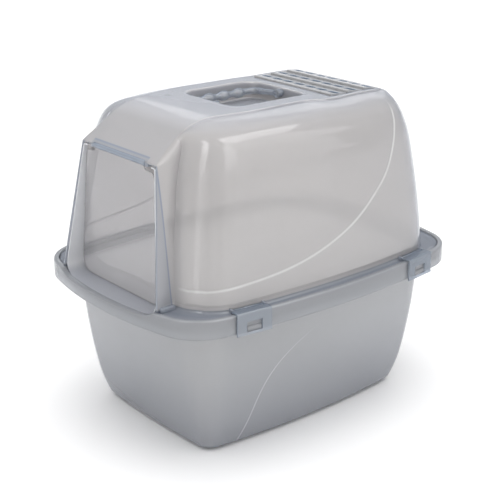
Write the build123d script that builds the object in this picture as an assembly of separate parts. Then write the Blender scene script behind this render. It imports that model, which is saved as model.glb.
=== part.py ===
from build123d import *
import math
import os

os.makedirs("parts", exist_ok=True)

# Enclosed litter pan with a hood, a hanging entrance flap and a roof handle.
# Frame: +Z up, +X to the right of the entrance, the entrance faces -Y,
# origin at the middle of the flat underside. All sizes in millimetres.

# ---------------------------------------------------------------- sizes
RIM_HALF_W = 177.5          # rim, half width at the middle of a long side
RIM_HALF_L = 240.0          # rim, half length at the middle of an end
RIM_BOW_W = 20.6            # how far a long side bows out past its corners
RIM_BOW_L = 25.0            # how far an end bows out past its corners
RIM_CORNER = 62.0           # rim corner radius
RIM_TOP = 202.0
RIM_DIP = 6.6               # the bead is this much lower where the flap swings over it
SKIRT_BOTTOM = 178.4
SKIRT_T = 2.6
RIDGE_W = 7.0               # raised bead round the outside of the rim
CHANNEL_TOP = 190.5         # floor of the channel that takes the hood
CHANNEL_T = 2.5
PAN_WALL = 2.6
PAN_FLOOR = 3.0

# tub wall: height, half width, side bow, half length, end bow, corner radius
PAN_SECTIONS = [
    (0.0, 113.0, 10.5, 160.0, 4.5, 17.0),
    (4.0, 118.3, 10.8, 165.2, 4.6, 19.0),
    (12.0, 123.4, 11.0, 170.4, 4.8, 23.0),
    (30.0, 130.0, 11.3, 177.2, 5.4, 29.0),
    (57.0, 136.2, 11.7, 183.8, 6.2, 34.0),
    (90.0, 142.0, 12.4, 190.2, 7.6, 39.0),
    (125.0, 147.0, 13.0, 195.6, 9.2, 44.0),
    (160.0, 150.6, 13.6, 199.6, 11.0, 48.0),
    (190.5, 153.0, 14.0, 202.6, 12.6, 51.0),
]

FLANGE_GAP = 0.6            # hood flange to the inside of the rim bead
FLANGE_TOP = 200.6
FLANGE_BOTTOM = 190.8
FLANGE_T = 2.4
HOOD_WALL = 2.4

# hood shell: height, half width, front y, rear y, side bow, end bow, corner radius
HOOD_SECTIONS = [
    (190.8, 162.4, -207.8, 203.2, 14.4, 16.2, 58.8),
    (215.0, 160.8, -205.2, 201.6, 14.4, 16.2, 58.5),
    (260.0, 156.6, -199.6, 197.4, 14.0, 16.0, 56.5),
    (300.0, 151.6, -193.6, 192.4, 13.6, 15.8, 54.5),
    (335.0, 146.2, -187.0, 187.0, 13.0, 15.4, 52.5),
    (360.0, 141.2, -181.0, 182.0, 12.4, 14.8, 51.0),
    (378.0, 135.4, -174.4, 176.6, 11.6, 14.0, 49.5),
    (390.0, 128.6, -166.8, 170.2, 10.6, 13.0, 47.5),
    (399.0, 117.6, -155.6, 160.6, 9.4, 11.6, 45.0),
    (404.6, 100.0, -138.6, 148.6, 8.0, 10.0, 41.0),
    (407.0, 82.0, -121.0, 134.0, 6.6, 8.0, 36.0),
]

# raised roof spine: side profile (y, z) and plan half widths (y, half width)
SPINE_FRONT = [(-190.0, 376.7), (-175.0, 387.6), (-160.0, 398.0), (-145.0, 404.6),
               (-130.0, 408.0), (-115.0, 409.5), (-95.0, 410.0)]
SPINE_REAR = [(32.0, 409.0), (46.0, 407.6), (60.0, 406.9)]
SPINE_BACK = [(160.0, 402.6), (168.6, 390.0), (174.0, 372.0)]
SPINE_PLAN = [(-203.3, 75.8), (-190.0, 72.0), (-172.0, 69.0), (-150.0, 68.4), (-130.0, 68.6),
              (-115.0, 70.8), (-100.0, 74.4), (-80.0, 77.4), (-55.0, 79.2), (-15.0, 78.6),
              (5.0, 77.6), (20.0, 78.4), (36.0, 81.2), (52.0, 83.6), (68.0, 83.8),
              (86.0, 82.4), (120.0, 82.0), (146.0, 80.6), (174.0, 76.0)]

PORCH_FOOT_X = 100.4        # outside of the wings at the foot
PORCH_HEAD_X = 75.8         # outside of the wings at the lintel
PORCH_FOOT_Y = -225.2
PORCH_HEAD_Y = -203.3
LINTEL_Z = 366.0
TUNNEL_FOOT_X = 97.0
TUNNEL_HEAD_X = 72.6
TUNNEL_HEAD_Z = 361.6
SILL_TOP = 193.2
SILL_CORNER = 24.0

HINGE_Y = -201.5            # axis of the flap barrel
HINGE_Z = 364.5
BARREL_R = 3.3
BARREL_HALF = 53.2
FLAP_T = 2.0
FLAP_BOTTOM = 194.0
FLAP_TOP_X = 69.2
FLAP_FOOT_X = 93.6
FLAP_PIN_R = 1.6
PIN_GAP = 0.05              # radial running clearance of every pin

WELL_Y = -11.5              # middle of the handle well
WELL_X_SIZE = 106.5
WELL_Y_SIZE = 117.5
WELL_CORNER = 19.0
WELL_FLOOR = 387.0
BAIL_PIVOT = (6.0, 402.4)   # x, z of the handle axis
BAIL_GRIP = (-42.0, 398.4)  # x, z of the grip in its rest place
BAIL_ARM_Y = (-62.5, 39.5)  # middles of the two arms
BAIL_R = 4.6
BAIL_PIN_R = 2.4
BUMP_PITCH = 24.0

VENT_X = 74.0               # half width of the vent cover
VENT_Y = (66.6, 147.0)
VENT_SEAT = 402.6
VENT_ROWS = (81.4, 110.6, 139.0)
VENT_HOLES = 7
VENT_HOLE_PITCH = 21.4
VENT_SLOT = (13.6, 6.6)
VENT_OPEN_X = 68.0
VENT_OPEN_Y = (72.0, 141.0)
FILTER_X = 66.0
FILTER_Y = (74.0, 139.0)
FILTER_Z = (393.0, 402.3)

LATCH_Y = 138.7             # latches sit this far fore and aft of the middle
LATCH_HALF = 23.6
LATCH_T = 2.4
LATCH_AXIS = (-12.0, 203.3)  # outward distance from the skirt, height
LATCH_WINDOW = (10.6, 180.2, 192.8)
LUG = (9.8, 180.9, 186.4)
LATCH_PIN_R = 1.2


# ---------------------------------------------------------------- outlines
def bowed_wire(half_w, bow_w, half_l, bow_l, radius, z, y_mid=0.0):
    """Closed outline of four shallow arcs joined by tangent corner arcs."""
    corner_x = half_w - bow_w
    corner_y = half_l - bow_l
    side_r = (corner_y**2 + bow_w**2) / (2 * bow_w)
    end_r = (corner_x**2 + bow_l**2) / (2 * bow_l)
    side_c = half_w - side_r
    end_c = half_l - end_r
    gap = math.hypot(side_c, end_c)
    r1 = side_r - radius
    r2 = end_r - radius
    along = (r1**2 - r2**2 + gap**2) / (2 * gap)
    off = math.sqrt(r1**2 - along**2)
    ex = -side_c / gap
    ey = end_c / gap
    cx = side_c + along * ex - off * ey
    cy = along * ey + off * ex
    a1 = math.atan2(cy, cx - side_c)
    a2 = math.atan2(cy - end_c, cx)
    am = (a1 + a2) / 2
    p_side = (side_c + side_r * math.cos(a1), side_r * math.sin(a1))
    p_end = (end_r * math.cos(a2), end_c + end_r * math.sin(a2))
    p_mid = (cx + radius * math.cos(am), cy + radius * math.sin(am))

    def at(p, sx, sy):
        return (p[0] * sx, p[1] * sy + y_mid, z)

    edges = [
        ThreePointArc(at(p_side, 1, -1), (half_w, y_mid, z), at(p_side, 1, 1)),
        ThreePointArc(at(p_side, 1, 1), at(p_mid, 1, 1), at(p_end, 1, 1)),
        ThreePointArc(at(p_end, 1, 1), (0, y_mid + half_l, z), at(p_end, -1, 1)),
        ThreePointArc(at(p_end, -1, 1), at(p_mid, -1, 1), at(p_side, -1, 1)),
        ThreePointArc(at(p_side, -1, 1), (-half_w, y_mid, z), at(p_side, -1, -1)),
        ThreePointArc(at(p_side, -1, -1), at(p_mid, -1, -1), at(p_end, -1, -1)),
        ThreePointArc(at(p_end, -1, -1), (0, y_mid - half_l, z), at(p_end, 1, -1)),
        ThreePointArc(at(p_end, 1, -1), at(p_mid, 1, -1), at(p_side, 1, -1)),
    ]
    return Wire(edges)


def rim_slab(inset, z0, z1):
    """Plate with the rim outline drawn in by inset."""
    wire = bowed_wire(RIM_HALF_W - inset, RIM_BOW_W, RIM_HALF_L - inset, RIM_BOW_L,
                      RIM_CORNER - inset, z0)
    return extrude(Face(wire), amount=z1 - z0, dir=(0, 0, 1))


def skin(wires, straight=False):
    """Closed solid through a stack of outlines, smooth or straight between them."""
    return Solid.make_loft(wires, ruled=straight)


def block(x0, x1, y0, y1, z0, z1):
    """Axis-aligned box from its limits."""
    return Pos((x0 + x1) / 2, (y0 + y1) / 2, (z0 + z1) / 2) * Box(x1 - x0, y1 - y0, z1 - z0)


def x_rod(radius, x0, x1, y, z):
    """Round rod along X."""
    return Pos((x0 + x1) / 2, y, z) * Rot(0, 90, 0) * Cylinder(radius, x1 - x0)


def y_rod(radius, y0, y1, x, z):
    """Round rod along Y."""
    return Pos(x, (y0 + y1) / 2, z) * Rot(90, 0, 0) * Cylinder(radius, y1 - y0)


def rim_x(y):
    """Half width of the rim at a distance y from its middle."""
    corner_y = RIM_HALF_L - RIM_BOW_L
    side_r = (corner_y**2 + RIM_BOW_W**2) / (2 * RIM_BOW_W)
    return RIM_HALF_W - side_r + math.sqrt(side_r**2 - y**2)


def latch_place(side, end):
    """Where a latch sits: outward along local X, its width along local Y."""
    corner_y = RIM_HALF_L - RIM_BOW_L
    side_r = (corner_y**2 + RIM_BOW_W**2) / (2 * RIM_BOW_W)
    turn = math.degrees(math.asin(LATCH_Y / side_r)) * end * side
    if side < 0:
        turn += 180
    return Location((side * rim_x(LATCH_Y), end * LATCH_Y, 0), (0, 0, turn))


LATCHES = {
    "latch_front_right": latch_place(1, -1),
    "latch_rear_right": latch_place(1, 1),
    "latch_front_left": latch_place(-1, -1),
    "latch_rear_left": latch_place(-1, 1),
}


# ---------------------------------------------------------------- litter pan
def pan_stack(inset, floor):
    """Outlines of the tub wall, drawn in by inset above a given floor height."""
    wires = []
    for z, hw, bw, hl, bl, r in PAN_SECTIONS:
        if z < floor + 0.5 and floor > 0:
            continue
        wires.append(bowed_wire(hw - inset, bw, hl - inset, bl, r - inset, z))
    if floor > 0:
        z, hw, bw, hl, bl, r = PAN_SECTIONS[1]
        wires.insert(0, bowed_wire(hw - inset - 2.2, bw, hl - inset - 2.2, bl, r - inset, floor))
    return wires


def make_pan():
    """Tub, channel, beaded rim, skirt and the four latch lugs."""
    rim = rim_slab(0, SKIRT_BOTTOM, RIM_TOP)
    rim = fillet(rim.edges().filter_by(lambda e: e.center().Z > RIM_TOP - 0.01), 2.8)
    rim -= rim_slab(RIDGE_W, CHANNEL_TOP, RIM_TOP + 5)
    rim -= rim_slab(SKIRT_T, SKIRT_BOTTOM - 1, CHANNEL_TOP - CHANNEL_T)
    dip = Polygon((-100, RIM_TOP + 1), (-82, RIM_TOP - RIM_DIP), (82, RIM_TOP - RIM_DIP),
                  (100, RIM_TOP + 1), align=None)
    rim -= Pos(0, -190, 0) * extrude(Plane.XZ * dip, amount=80)
    wall = skin(pan_stack(0, 0))
    hollow = skin(pan_stack(PAN_WALL, PAN_FLOOR), straight=True)
    top = PAN_SECTIONS[-1]
    mouth = Face(bowed_wire(top[1] - PAN_WALL, top[2], top[3] - PAN_WALL, top[4],
                            top[5] - PAN_WALL, CHANNEL_TOP - CHANNEL_T - 1))
    pan = (rim + wall) - hollow - extrude(mouth, amount=CHANNEL_T + 3, dir=(0, 0, 1))
    half, z0, z1 = LUG
    for place in LATCHES.values():
        lug = Polygon((-1.2, z0), (2.1, z0), (2.1, z1 - 2.2), (0.9, z1), (-1.2, z1), align=None)
        lug = extrude(Plane.XZ * lug, amount=half, both=True)
        pan += place * lug
    return pan


# ---------------------------------------------------------------- hood
def hood_stack(inset):
    """Outlines of the hood shell; the inner ones also sit lower near the roof."""
    wires = []
    last = len(HOOD_SECTIONS) - 1
    for i, (z, hw, yf, yr, bw, bl, r) in enumerate(HOOD_SECTIONS):
        drop = inset * (i / last)**2
        half_l = (yr - yf) / 2 - inset
        wires.append(bowed_wire(hw - inset, bw, half_l, bl, r - inset,
                                z - drop if i else z - inset / 4, (yf + yr) / 2))
    return wires


def spine_solid(inset):
    """Raised roof spine, from the lintel over the roof to the top of the back."""
    low = 340.0
    front_y = PORCH_HEAD_Y + inset
    front = [(y + inset * 0.6, z - inset * 0.8) for y, z in SPINE_FRONT]
    rear = [(y, z - inset) for y, z in SPINE_REAR]
    back = [(y - inset, z - inset * 0.6) for y, z in SPINE_BACK]
    with BuildSketch(Plane.YZ) as profile:
        with BuildLine():
            Line((front_y, low), (front_y, LINTEL_Z - inset))
            Spline((front_y, LINTEL_Z - inset), *front)
            Line(front[-1], (18.0, 410.0 - inset))
            Spline((18.0, 410.0 - inset), *rear)
            Line(rear[-1], (148.0 - inset, 406.8 - inset))
            Spline((148.0 - inset, 406.8 - inset), *back)
            Line(back[-1], (back[-1][0], low))
            Line((back[-1][0], low), (front_y, low))
        make_face()
    side = extrude(profile.sketch, amount=110, both=True)
    right = [(w - inset, y) for y, w in SPINE_PLAN]
    right[0] = (right[0][0], front_y)
    right[-1] = (right[-1][0], right[-1][1] - inset)
    left = [(-x, y) for x, y in reversed(right)]
    with BuildSketch(Plane.XY.offset(low)) as plan:
        with BuildLine():
            Spline(*right)
            Line(right[-1], left[0])
            Spline(*left)
            Line(left[-1], right[0])
        make_face()
    return side & extrude(plan.sketch, amount=90)


def porch_solid(foot_x, head_x, foot_z, head_z, foot_y, head_y, back_y):
    """Tapering block of the entrance porch."""
    low = Plane.XY.offset(foot_z) * Polygon((-foot_x, foot_y), (foot_x, foot_y),
                                            (foot_x, back_y), (-foot_x, back_y), align=None)
    high = Plane.XY.offset(head_z) * Polygon((-head_x, head_y), (head_x, head_y),
                                             (head_x, back_y), (-head_x, back_y), align=None)
    return loft([low.face(), high.face()], ruled=True)


def make_hood():
    """Shell, flange, porch, spine, handle well, vent seat and hinge ears."""
    flange_in = RIDGE_W + FLANGE_GAP
    flange = rim_slab(flange_in, FLANGE_BOTTOM, FLANGE_TOP)
    flange -= rim_slab(flange_in + FLANGE_T, FLANGE_BOTTOM - 1, FLANGE_TOP - FLANGE_T)
    sill = rim_slab(flange_in, FLANGE_BOTTOM, SILL_TOP)
    sill &= block(-PORCH_FOOT_X, PORCH_FOOT_X, -260, -197.0, 150, 260)
    shell = skin(hood_stack(0))
    porch = porch_solid(PORCH_FOOT_X, PORCH_HEAD_X, FLANGE_BOTTOM, LINTEL_Z,
                        PORCH_FOOT_Y, PORCH_HEAD_Y, -150.0)
    hood = flange + shell + porch + spine_solid(0)
    inside = skin(hood_stack(HOOD_WALL))
    inside += porch_solid(PORCH_FOOT_X - 3.0, PORCH_HEAD_X - 3.0, FLANGE_BOTTOM - 2, LINTEL_Z,
                          PORCH_FOOT_Y - 30, PORCH_HEAD_Y + 3.0, -140.0)
    hood = hood - inside - spine_solid(HOOD_WALL)
    hood -= block(-130, 130, -180, 180, 180, 192.0)
    hood += sill
    tunnel = porch_solid(TUNNEL_FOOT_X, TUNNEL_HEAD_X, SILL_TOP, TUNNEL_HEAD_Z,
                         -270.0, -270.0, -186.0)
    long_low = tunnel.edges().filter_by(lambda e: e.center().Z < SILL_TOP + 0.1
                                        and abs(e.center().X) > 80)
    hood -= fillet(long_low, SILL_CORNER)

    # handle well
    outer = Pos(0, WELL_Y, WELL_FLOOR - HOOD_WALL) * extrude(
        RectangleRounded(WELL_X_SIZE + 2 * HOOD_WALL, WELL_Y_SIZE + 2 * HOOD_WALL,
                         WELL_CORNER + HOOD_WALL), amount=409.0 - WELL_FLOOR + HOOD_WALL)
    well = Pos(0, WELL_Y, WELL_FLOOR) * extrude(
        RectangleRounded(WELL_X_SIZE, WELL_Y_SIZE, WELL_CORNER), amount=40)
    hood = hood + outer - well
    px, pz = BAIL_PIVOT
    hood -= y_rod(BAIL_PIN_R + PIN_GAP, WELL_Y - WELL_Y_SIZE / 2 - 4,
                  WELL_Y + WELL_Y_SIZE / 2 + 4, px, pz)

    # vent seat
    seat = block(-VENT_X - 3, VENT_X + 3, VENT_Y[0] - 3, VENT_Y[1] + 2.6, VENT_SEAT - 2.4, 406.6)
    pocket = block(-VENT_X - 0.35, VENT_X + 0.35, VENT_Y[0] - 0.35, VENT_Y[1] + 0.35,
                   VENT_SEAT, 420)
    duct = block(-VENT_OPEN_X, VENT_OPEN_X, VENT_OPEN_Y[0], VENT_OPEN_Y[1], 380, 420)
    hood = hood + seat - pocket - duct

    # slot and ears for the flap barrel
    ears = Part()
    for s in (-1, 1):
        ears += block(min(s * 54.0, s * 59.0), max(s * 54.0, s * 59.0),
                      HINGE_Y - 1.8, HINGE_Y + 4.0, HINGE_Z - 3.4, HINGE_Z + 3.2)
    hood += ears
    hood -= block(-54.0, 54.0, HINGE_Y - 8, HINGE_Y + 4.6, HINGE_Z - 6, HINGE_Z + 7.5)
    hood -= x_rod(FLAP_PIN_R + PIN_GAP, -57.6, 57.6, HINGE_Y, HINGE_Z)

    # room for the rim bead under the wings, then ears for the latch pins
    hood -= rim_slab(-5, 185, RIM_TOP + 0.4) - rim_slab(flange_in, 185, RIM_TOP + 0.4)
    au, az = LATCH_AXIS
    for place in LATCHES.values():
        for s in (-1, 1):
            ear = block(au - 4.2, au + 2.5, min(s * 20.6, s * 23.4), max(s * 20.6, s * 23.4),
                        FLANGE_TOP - 1.0, az + 2.5)
            ear -= y_rod(LATCH_PIN_R + PIN_GAP, -30, 30, au, az)
            hood += place * ear
    return hood


# ---------------------------------------------------------------- entrance flap
def make_flap():
    """Clear flap: a tapered pane with rounded feet hanging from its barrel."""
    corners = [(-BARREL_HALF + 2, HINGE_Z), (BARREL_HALF - 2, HINGE_Z), (BARREL_HALF - 2, 357.0),
               (FLAP_TOP_X, 355.6), (FLAP_FOOT_X, FLAP_BOTTOM), (-FLAP_FOOT_X, FLAP_BOTTOM),
               (-FLAP_TOP_X, 355.6), (-BARREL_HALF + 2, 357.0)]
    pane = Polygon(*corners, align=None)
    feet = pane.vertices().filter_by(lambda v: v.Y < FLAP_BOTTOM + 1)
    pane = fillet(feet, 27.0)
    flap = Pos(0, HINGE_Y, 0) * extrude(Plane.XZ * pane, amount=FLAP_T / 2, both=True)
    flap += x_rod(BARREL_R, -BARREL_HALF, BARREL_HALF, HINGE_Y, HINGE_Z)
    flap += x_rod(FLAP_PIN_R, -57.0, 57.0, HINGE_Y, HINGE_Z)
    return flap


# ---------------------------------------------------------------- carry handle
def make_handle():
    """Bail with two arms, a bumped grip and two stub pins."""
    px, pz = BAIL_PIVOT
    gx, gz = BAIL_GRIP
    y0, y1 = BAIL_ARM_Y
    grip = y_rod(BAIL_R, y0, y1, gx, gz)
    for y in (y0, y1):
        grip += Pos(gx, y, gz) * Sphere(BAIL_R)
    for i in (-1, 0, 1):
        grip += Pos(gx, WELL_Y + i * BUMP_PITCH, gz) * Sphere(6.8)
    length = math.hypot(px - gx, pz - gz)
    tilt = math.degrees(math.atan2(pz - gz, px - gx))
    handle = grip
    for y in (y0, y1):
        arm = Pos((px + gx) / 2, y, (pz + gz) / 2) * Rot(0, -tilt, 0) * Box(length, 7.0, 7.0)
        handle += arm + y_rod(5.2, y - 3.5, y + 3.5, px, pz)
    handle += y_rod(BAIL_PIN_R, y0 - 9.6, y0, px, pz)
    handle += y_rod(BAIL_PIN_R, y1, y1 + 9.6, px, pz)
    return handle


# ---------------------------------------------------------------- vent
def make_vent_cover():
    """Louvred grille: three sloping strips, each with a row of oval holes."""
    cover = block(-VENT_X, VENT_X, VENT_Y[0], VENT_Y[1], VENT_SEAT + 0.3, VENT_SEAT + 2.4)
    edges = [VENT_Y[0], 96.0, 125.2, VENT_Y[1]]
    for y0, y1 in zip(edges, edges[1:]):
        strip = Polygon((y0, VENT_SEAT + 1.0), (y1, VENT_SEAT + 1.0), (y1, 406.2),
                        (y0 + 0.8, 409.2), (y0, 408.4), align=None)
        cover += extrude(Plane.YZ * strip, amount=VENT_X, both=True)
    holes = Part()
    for y in VENT_ROWS:
        for i in range(VENT_HOLES):
            x = (i - (VENT_HOLES - 1) / 2) * VENT_HOLE_PITCH
            slot = extrude(SlotOverall(*VENT_SLOT), amount=30)
            holes += Pos(x, y, VENT_SEAT - 10) * slot
    return cover - holes


def make_filter():
    """Filter pad under the vent cover."""
    pad = block(-FILTER_X, FILTER_X, FILTER_Y[0], FILTER_Y[1], FILTER_Z[0], FILTER_Z[1])
    return fillet(pad.edges().filter_by(Axis.Z), 4.0)


# ---------------------------------------------------------------- latches
def make_latch():
    """Clip over the rim, in its own frame: outward is +X, the rim runs along Y."""
    au, az = LATCH_AXIS
    face_in = 0.45
    face_out = face_in + LATCH_T
    half, z0, z1 = LATCH_WINDOW
    top = block(-7.9, face_out, -LATCH_HALF, LATCH_HALF, 202.4, 204.6)
    leg = block(face_in, face_out, -LATCH_HALF, LATCH_HALF, 177.2, 204.6)
    latch = top + leg
    outer_edges = latch.edges().filter_by(Axis.Y).filter_by(
        lambda e: e.center().Z > 204.5 and e.center().X > 2)
    latch = fillet(outer_edges, 1.8)
    latch -= block(-1, 6, -half, half, z0, z1)
    latch += block(au, -7.0, -20.0, 20.0, 202.4, 204.6)
    latch += y_rod(1.8, -20.0, 20.0, au, az)
    latch += y_rod(LATCH_PIN_R, -23.2, 23.2, au, az)
    return latch


pan = make_pan()
hood = make_hood()
flap = make_flap()
handle = make_handle()
vent_cover = make_vent_cover()
air_filter = make_filter()
latch = make_latch()

export_step(pan, "parts/litter_pan.step")
export_step(hood, "parts/hood.step")
export_step(flap, "parts/door_flap.step")
export_step(handle, "parts/carry_handle.step")
export_step(vent_cover, "parts/vent_cover.step")
export_step(air_filter, "parts/air_filter.step")
for name, place in LATCHES.items():
    export_step(place * latch, "parts/" + name + ".step")
    print(name, "pin axis through", (place * Pos(LATCH_AXIS[0], 0, LATCH_AXIS[1])).position)

for name, shape in (("litter_pan", pan), ("hood", hood), ("door_flap", flap),
                    ("carry_handle", handle), ("vent_cover", vent_cover),
                    ("air_filter", air_filter), ("latch", latch)):
    print(name, "solids", len(shape.solids()), "volume cm3", round(shape.volume / 1000, 2))
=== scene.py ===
import math

import bmesh
import bpy
import numpy as np
from mathutils import Matrix


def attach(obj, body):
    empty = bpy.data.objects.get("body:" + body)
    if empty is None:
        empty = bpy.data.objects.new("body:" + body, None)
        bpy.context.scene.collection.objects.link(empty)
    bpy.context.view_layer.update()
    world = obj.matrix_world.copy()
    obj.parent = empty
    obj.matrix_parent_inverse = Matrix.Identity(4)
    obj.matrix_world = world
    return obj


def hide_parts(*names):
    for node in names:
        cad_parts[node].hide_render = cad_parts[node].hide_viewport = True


# Enclosed litter pan: smoke-grey moulded tub, clip-on hood, clear entrance flap,
# roof vent and folding carry handle. Sizes below are in millimetres, +Z up,
# the entrance faces -Y; every mesh is scaled to metres when it is made.

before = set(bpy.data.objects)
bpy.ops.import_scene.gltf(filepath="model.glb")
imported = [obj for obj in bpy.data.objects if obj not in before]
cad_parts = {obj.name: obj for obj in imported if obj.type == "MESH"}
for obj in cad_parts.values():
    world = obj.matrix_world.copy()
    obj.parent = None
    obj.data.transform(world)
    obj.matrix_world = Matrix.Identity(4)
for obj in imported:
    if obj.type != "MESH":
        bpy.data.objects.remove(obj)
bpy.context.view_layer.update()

# ---------------------------------------------------------------- sizes
RIM = (177.5, 20.6, 240.0, 25.0, 62.0)      # half width, side bow, half length, end bow, corner
RIM_TOP = 202.0
RIM_SHELF = 188.0                           # underside of the rim, inside the skirt
SKIRT_BOTTOM = 178.4
SKIRT_T = 2.6
BEAD_W = 7.0
CHANNEL_TOP = 190.5
PAN_WALL = 2.6
PAN_FLOOR = 3.0
DIP = 6.6                                   # how much lower the rim bead is at the entrance

# tub outline: height, half width, side bow, half length, end bow, corner radius
TUB = np.array([
    (0.0, 113.0, 10.5, 160.0, 4.5, 17.0),
    (4.0, 118.3, 10.8, 165.2, 4.6, 19.0),
    (12.0, 123.4, 11.0, 170.4, 4.8, 23.0),
    (30.0, 130.0, 11.3, 177.2, 5.4, 29.0),
    (57.0, 136.2, 11.7, 183.8, 6.2, 34.0),
    (90.0, 142.0, 12.4, 190.2, 7.6, 39.0),
    (125.0, 147.0, 13.0, 195.6, 9.2, 44.0),
    (160.0, 150.6, 13.6, 199.6, 11.0, 48.0),
    (190.5, 153.0, 14.0, 202.6, 12.6, 51.0),
])

# hood wall outline: height, half width, side bow, front y, rear y, end bow, corner radius
WALL = np.array([
    (190.8, 162.4, 14.4, -207.8, 203.2, 16.2, 58.8),
    (215.0, 160.8, 14.4, -205.2, 201.6, 16.2, 58.5),
    (260.0, 156.6, 14.0, -199.6, 197.4, 16.0, 56.5),
    (300.0, 151.6, 13.6, -193.6, 192.4, 15.8, 54.5),
    (335.0, 146.2, 13.0, -187.0, 187.0, 15.4, 52.5),
    (360.0, 141.2, 12.4, -181.0, 182.0, 14.8, 51.0),
    (378.0, 135.4, 11.6, -174.4, 176.6, 14.0, 49.5),
])
FLANGE_INSET = 7.6
FLANGE_TOP = 200.6
FLANGE_BOTTOM = 190.8
HOOD_WALL = 2.4
WALL_TOP = 372.0
PORCH_FOOT = (100.2, -225.0, 203.5)         # front edge of the porch side: half width, y, height
PORCH_HEAD = (75.8, -203.3, 366.0)

# roof panel: y, height of its edge, half width
ROOF = np.array([
    (-203.3, 366.0, 75.8), (-190.0, 376.7, 71.9), (-175.0, 387.6, 69.3), (-160.0, 398.3, 68.4),
    (-145.0, 404.5, 68.2), (-130.0, 407.8, 68.6), (-115.0, 409.0, 70.8), (-100.0, 409.4, 74.2),
    (-85.0, 409.5, 76.8), (-70.0, 409.5, 78.6), (-40.0, 409.5, 79.4), (-10.0, 409.4, 78.4),
    (5.0, 409.3, 77.7), (20.0, 409.2, 78.3), (35.0, 408.6, 80.6), (50.0, 407.6, 83.2),
    (65.0, 406.9, 84.0), (80.0, 406.8, 83.0), (102.0, 407.2, 82.2), (125.0, 407.0, 82.4),
    (140.0, 406.4, 82.0), (151.0, 405.4, 79.0),
])
ROOF_FRONT, ROOF_REAR = ROOF[0, 0], ROOF[-1, 0]
JOIN_Y = -170.0                             # where porch side, wall and roof panel meet
WELL = (53.25, 58.75, -11.5, 19.0, 387.0)   # half x, half y, middle y, corner, floor height
WELL_DEPTH = 22.4
SEAT = (74.35, 66.25, 147.35, 402.6)        # vent seat: half x, y from, y to, height
SEAT_DEPTH = 4.4
DUCT = (68.0, 72.0, 141.0)                  # opening under the vent: half x, y from, y to
HINGE = (-201.5, 364.5)                     # flap barrel: y, z
LATCH_Y = 138.7                             # middle of each clip along the box
LATCH_AXIS = (-12.0, 203.3)                 # clip's pin: outwards from the rim, z
CLIPS = {"front_right": (1, -1), "rear_right": (1, 1), "front_left": (-1, -1),
         "rear_left": (-1, 1)}              # side, end
VENT_HALF, VENT_PITCH = 73.8, 21.4          # half width, distance between slots
VENT_EDGES = (66.6, 96.0, 125.2, 147.0)     # y of the louvres' edges
VENT_ROWS = (81.4, 110.6, 139.0)            # y of the rows of slots
VENT_LOW, VENT_TOP, LOUVRE_FALL = 402.9, 409.2, 3.0


# ---------------------------------------------------------------- curves
def spline(x, xs, ys):
    """Natural cubic through (xs, ys): between knots, the cubic whose slope and bend
    match its neighbours', with no bend at either end."""
    x = np.asarray(x, float)
    ys = np.asarray(ys, float)
    h = np.diff(xs)
    n = len(xs)
    a = np.eye(n)
    rhs = np.zeros(ys.shape)
    i = np.arange(1, n - 1)
    a[i, i - 1], a[i, i], a[i, i + 1] = h[:-1], 2 * (h[:-1] + h[1:]), h[1:]
    slope = np.diff(ys, axis=0) / h.reshape((-1,) + (1,) * (ys.ndim - 1))
    rhs[1:-1] = 6 * np.diff(slope, axis=0)
    m = np.linalg.solve(a, rhs)
    k = np.clip(np.searchsorted(xs, x) - 1, 0, n - 2)
    t = x - xs[k]
    hk = h[k]
    if ys.ndim > 1:
        t, hk = t[..., None], hk[..., None]
    return (ys[k] + t * (slope[k] - hk * (2 * m[k] + m[k + 1]) / 6)
            + t**2 * m[k] / 2 + t**3 * (m[k + 1] - m[k]) / (6 * hk))


def smooth(t):
    """Three t squared minus two t cubed, clamped to 0..1."""
    t = np.clip(t, 0, 1)
    return t * t * (3 - 2 * t)


def mix(a, b, t):
    """Straight blend from a to b."""
    return a + (b - a) * t


def arc_angles(steps, first=1, stop=90):
    """Angles of an arc from 0 to stop degrees in even steps, in radians, from station
    number first."""
    return np.radians(np.linspace(0, stop, steps))[first:]


def half_outline(shape, y_mid, q, start_x=0.0):
    """Right half of an outline made of shallow arcs and round corners, from the front
    (q 0, at x = start_x) by corner (1 to 2), side (3 at its middle) and rear corner
    (4 to 5) to the rear middle (q 6). Each point is an arc's centre plus its radius
    times (cos, sin) of an angle that runs evenly with q. Returns points and normals."""
    w, a, l, b, r = (np.asarray(s, float)[..., None] for s in shape)
    q = np.asarray(q, float)
    side_r = ((l - b)**2 + a**2) / (2 * a)
    end_r = ((w - a)**2 + b**2) / (2 * b)
    side_c, end_c = w - side_r, l - end_r
    gap = np.hypot(side_c, end_c)
    r1, r2 = side_r - r, end_r - r
    along = (r1**2 - r2**2 + gap**2) / (2 * gap)
    off = np.sqrt(r1**2 - along**2)
    ex, ey = -side_c / gap, end_c / gap
    cx = side_c + along * ex - off * ey
    cy = along * ey + off * ex
    a1 = np.arctan2(cy, cx - side_c)
    a2 = np.arctan2(cy - end_c, cx)
    front = q < 3
    k = np.where(front, 6 - q, q)
    last = np.where(front, np.arccos(np.clip(np.asarray(start_x)[..., None] / end_r, 0, 1)),
                    math.pi / 2)
    angle = np.where(k < 4, a1 * (k - 3),
                     np.where(k < 5, mix(a1, a2, k - 4), mix(a2, last, k - 5)))
    c, s = np.cos(angle), np.sin(angle)
    x = np.where(k < 4, side_c + side_r * c, np.where(k < 5, cx + r * c, end_r * c))
    y = np.where(k < 4, side_r * s, np.where(k < 5, cy + r * s, end_c + end_r * s))
    flip = np.where(front, -1.0, 1.0)
    pts = np.stack([x, np.asarray(y_mid, float)[..., None] + y * flip], -1)
    return pts, np.stack([c, s * flip], -1)


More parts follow.
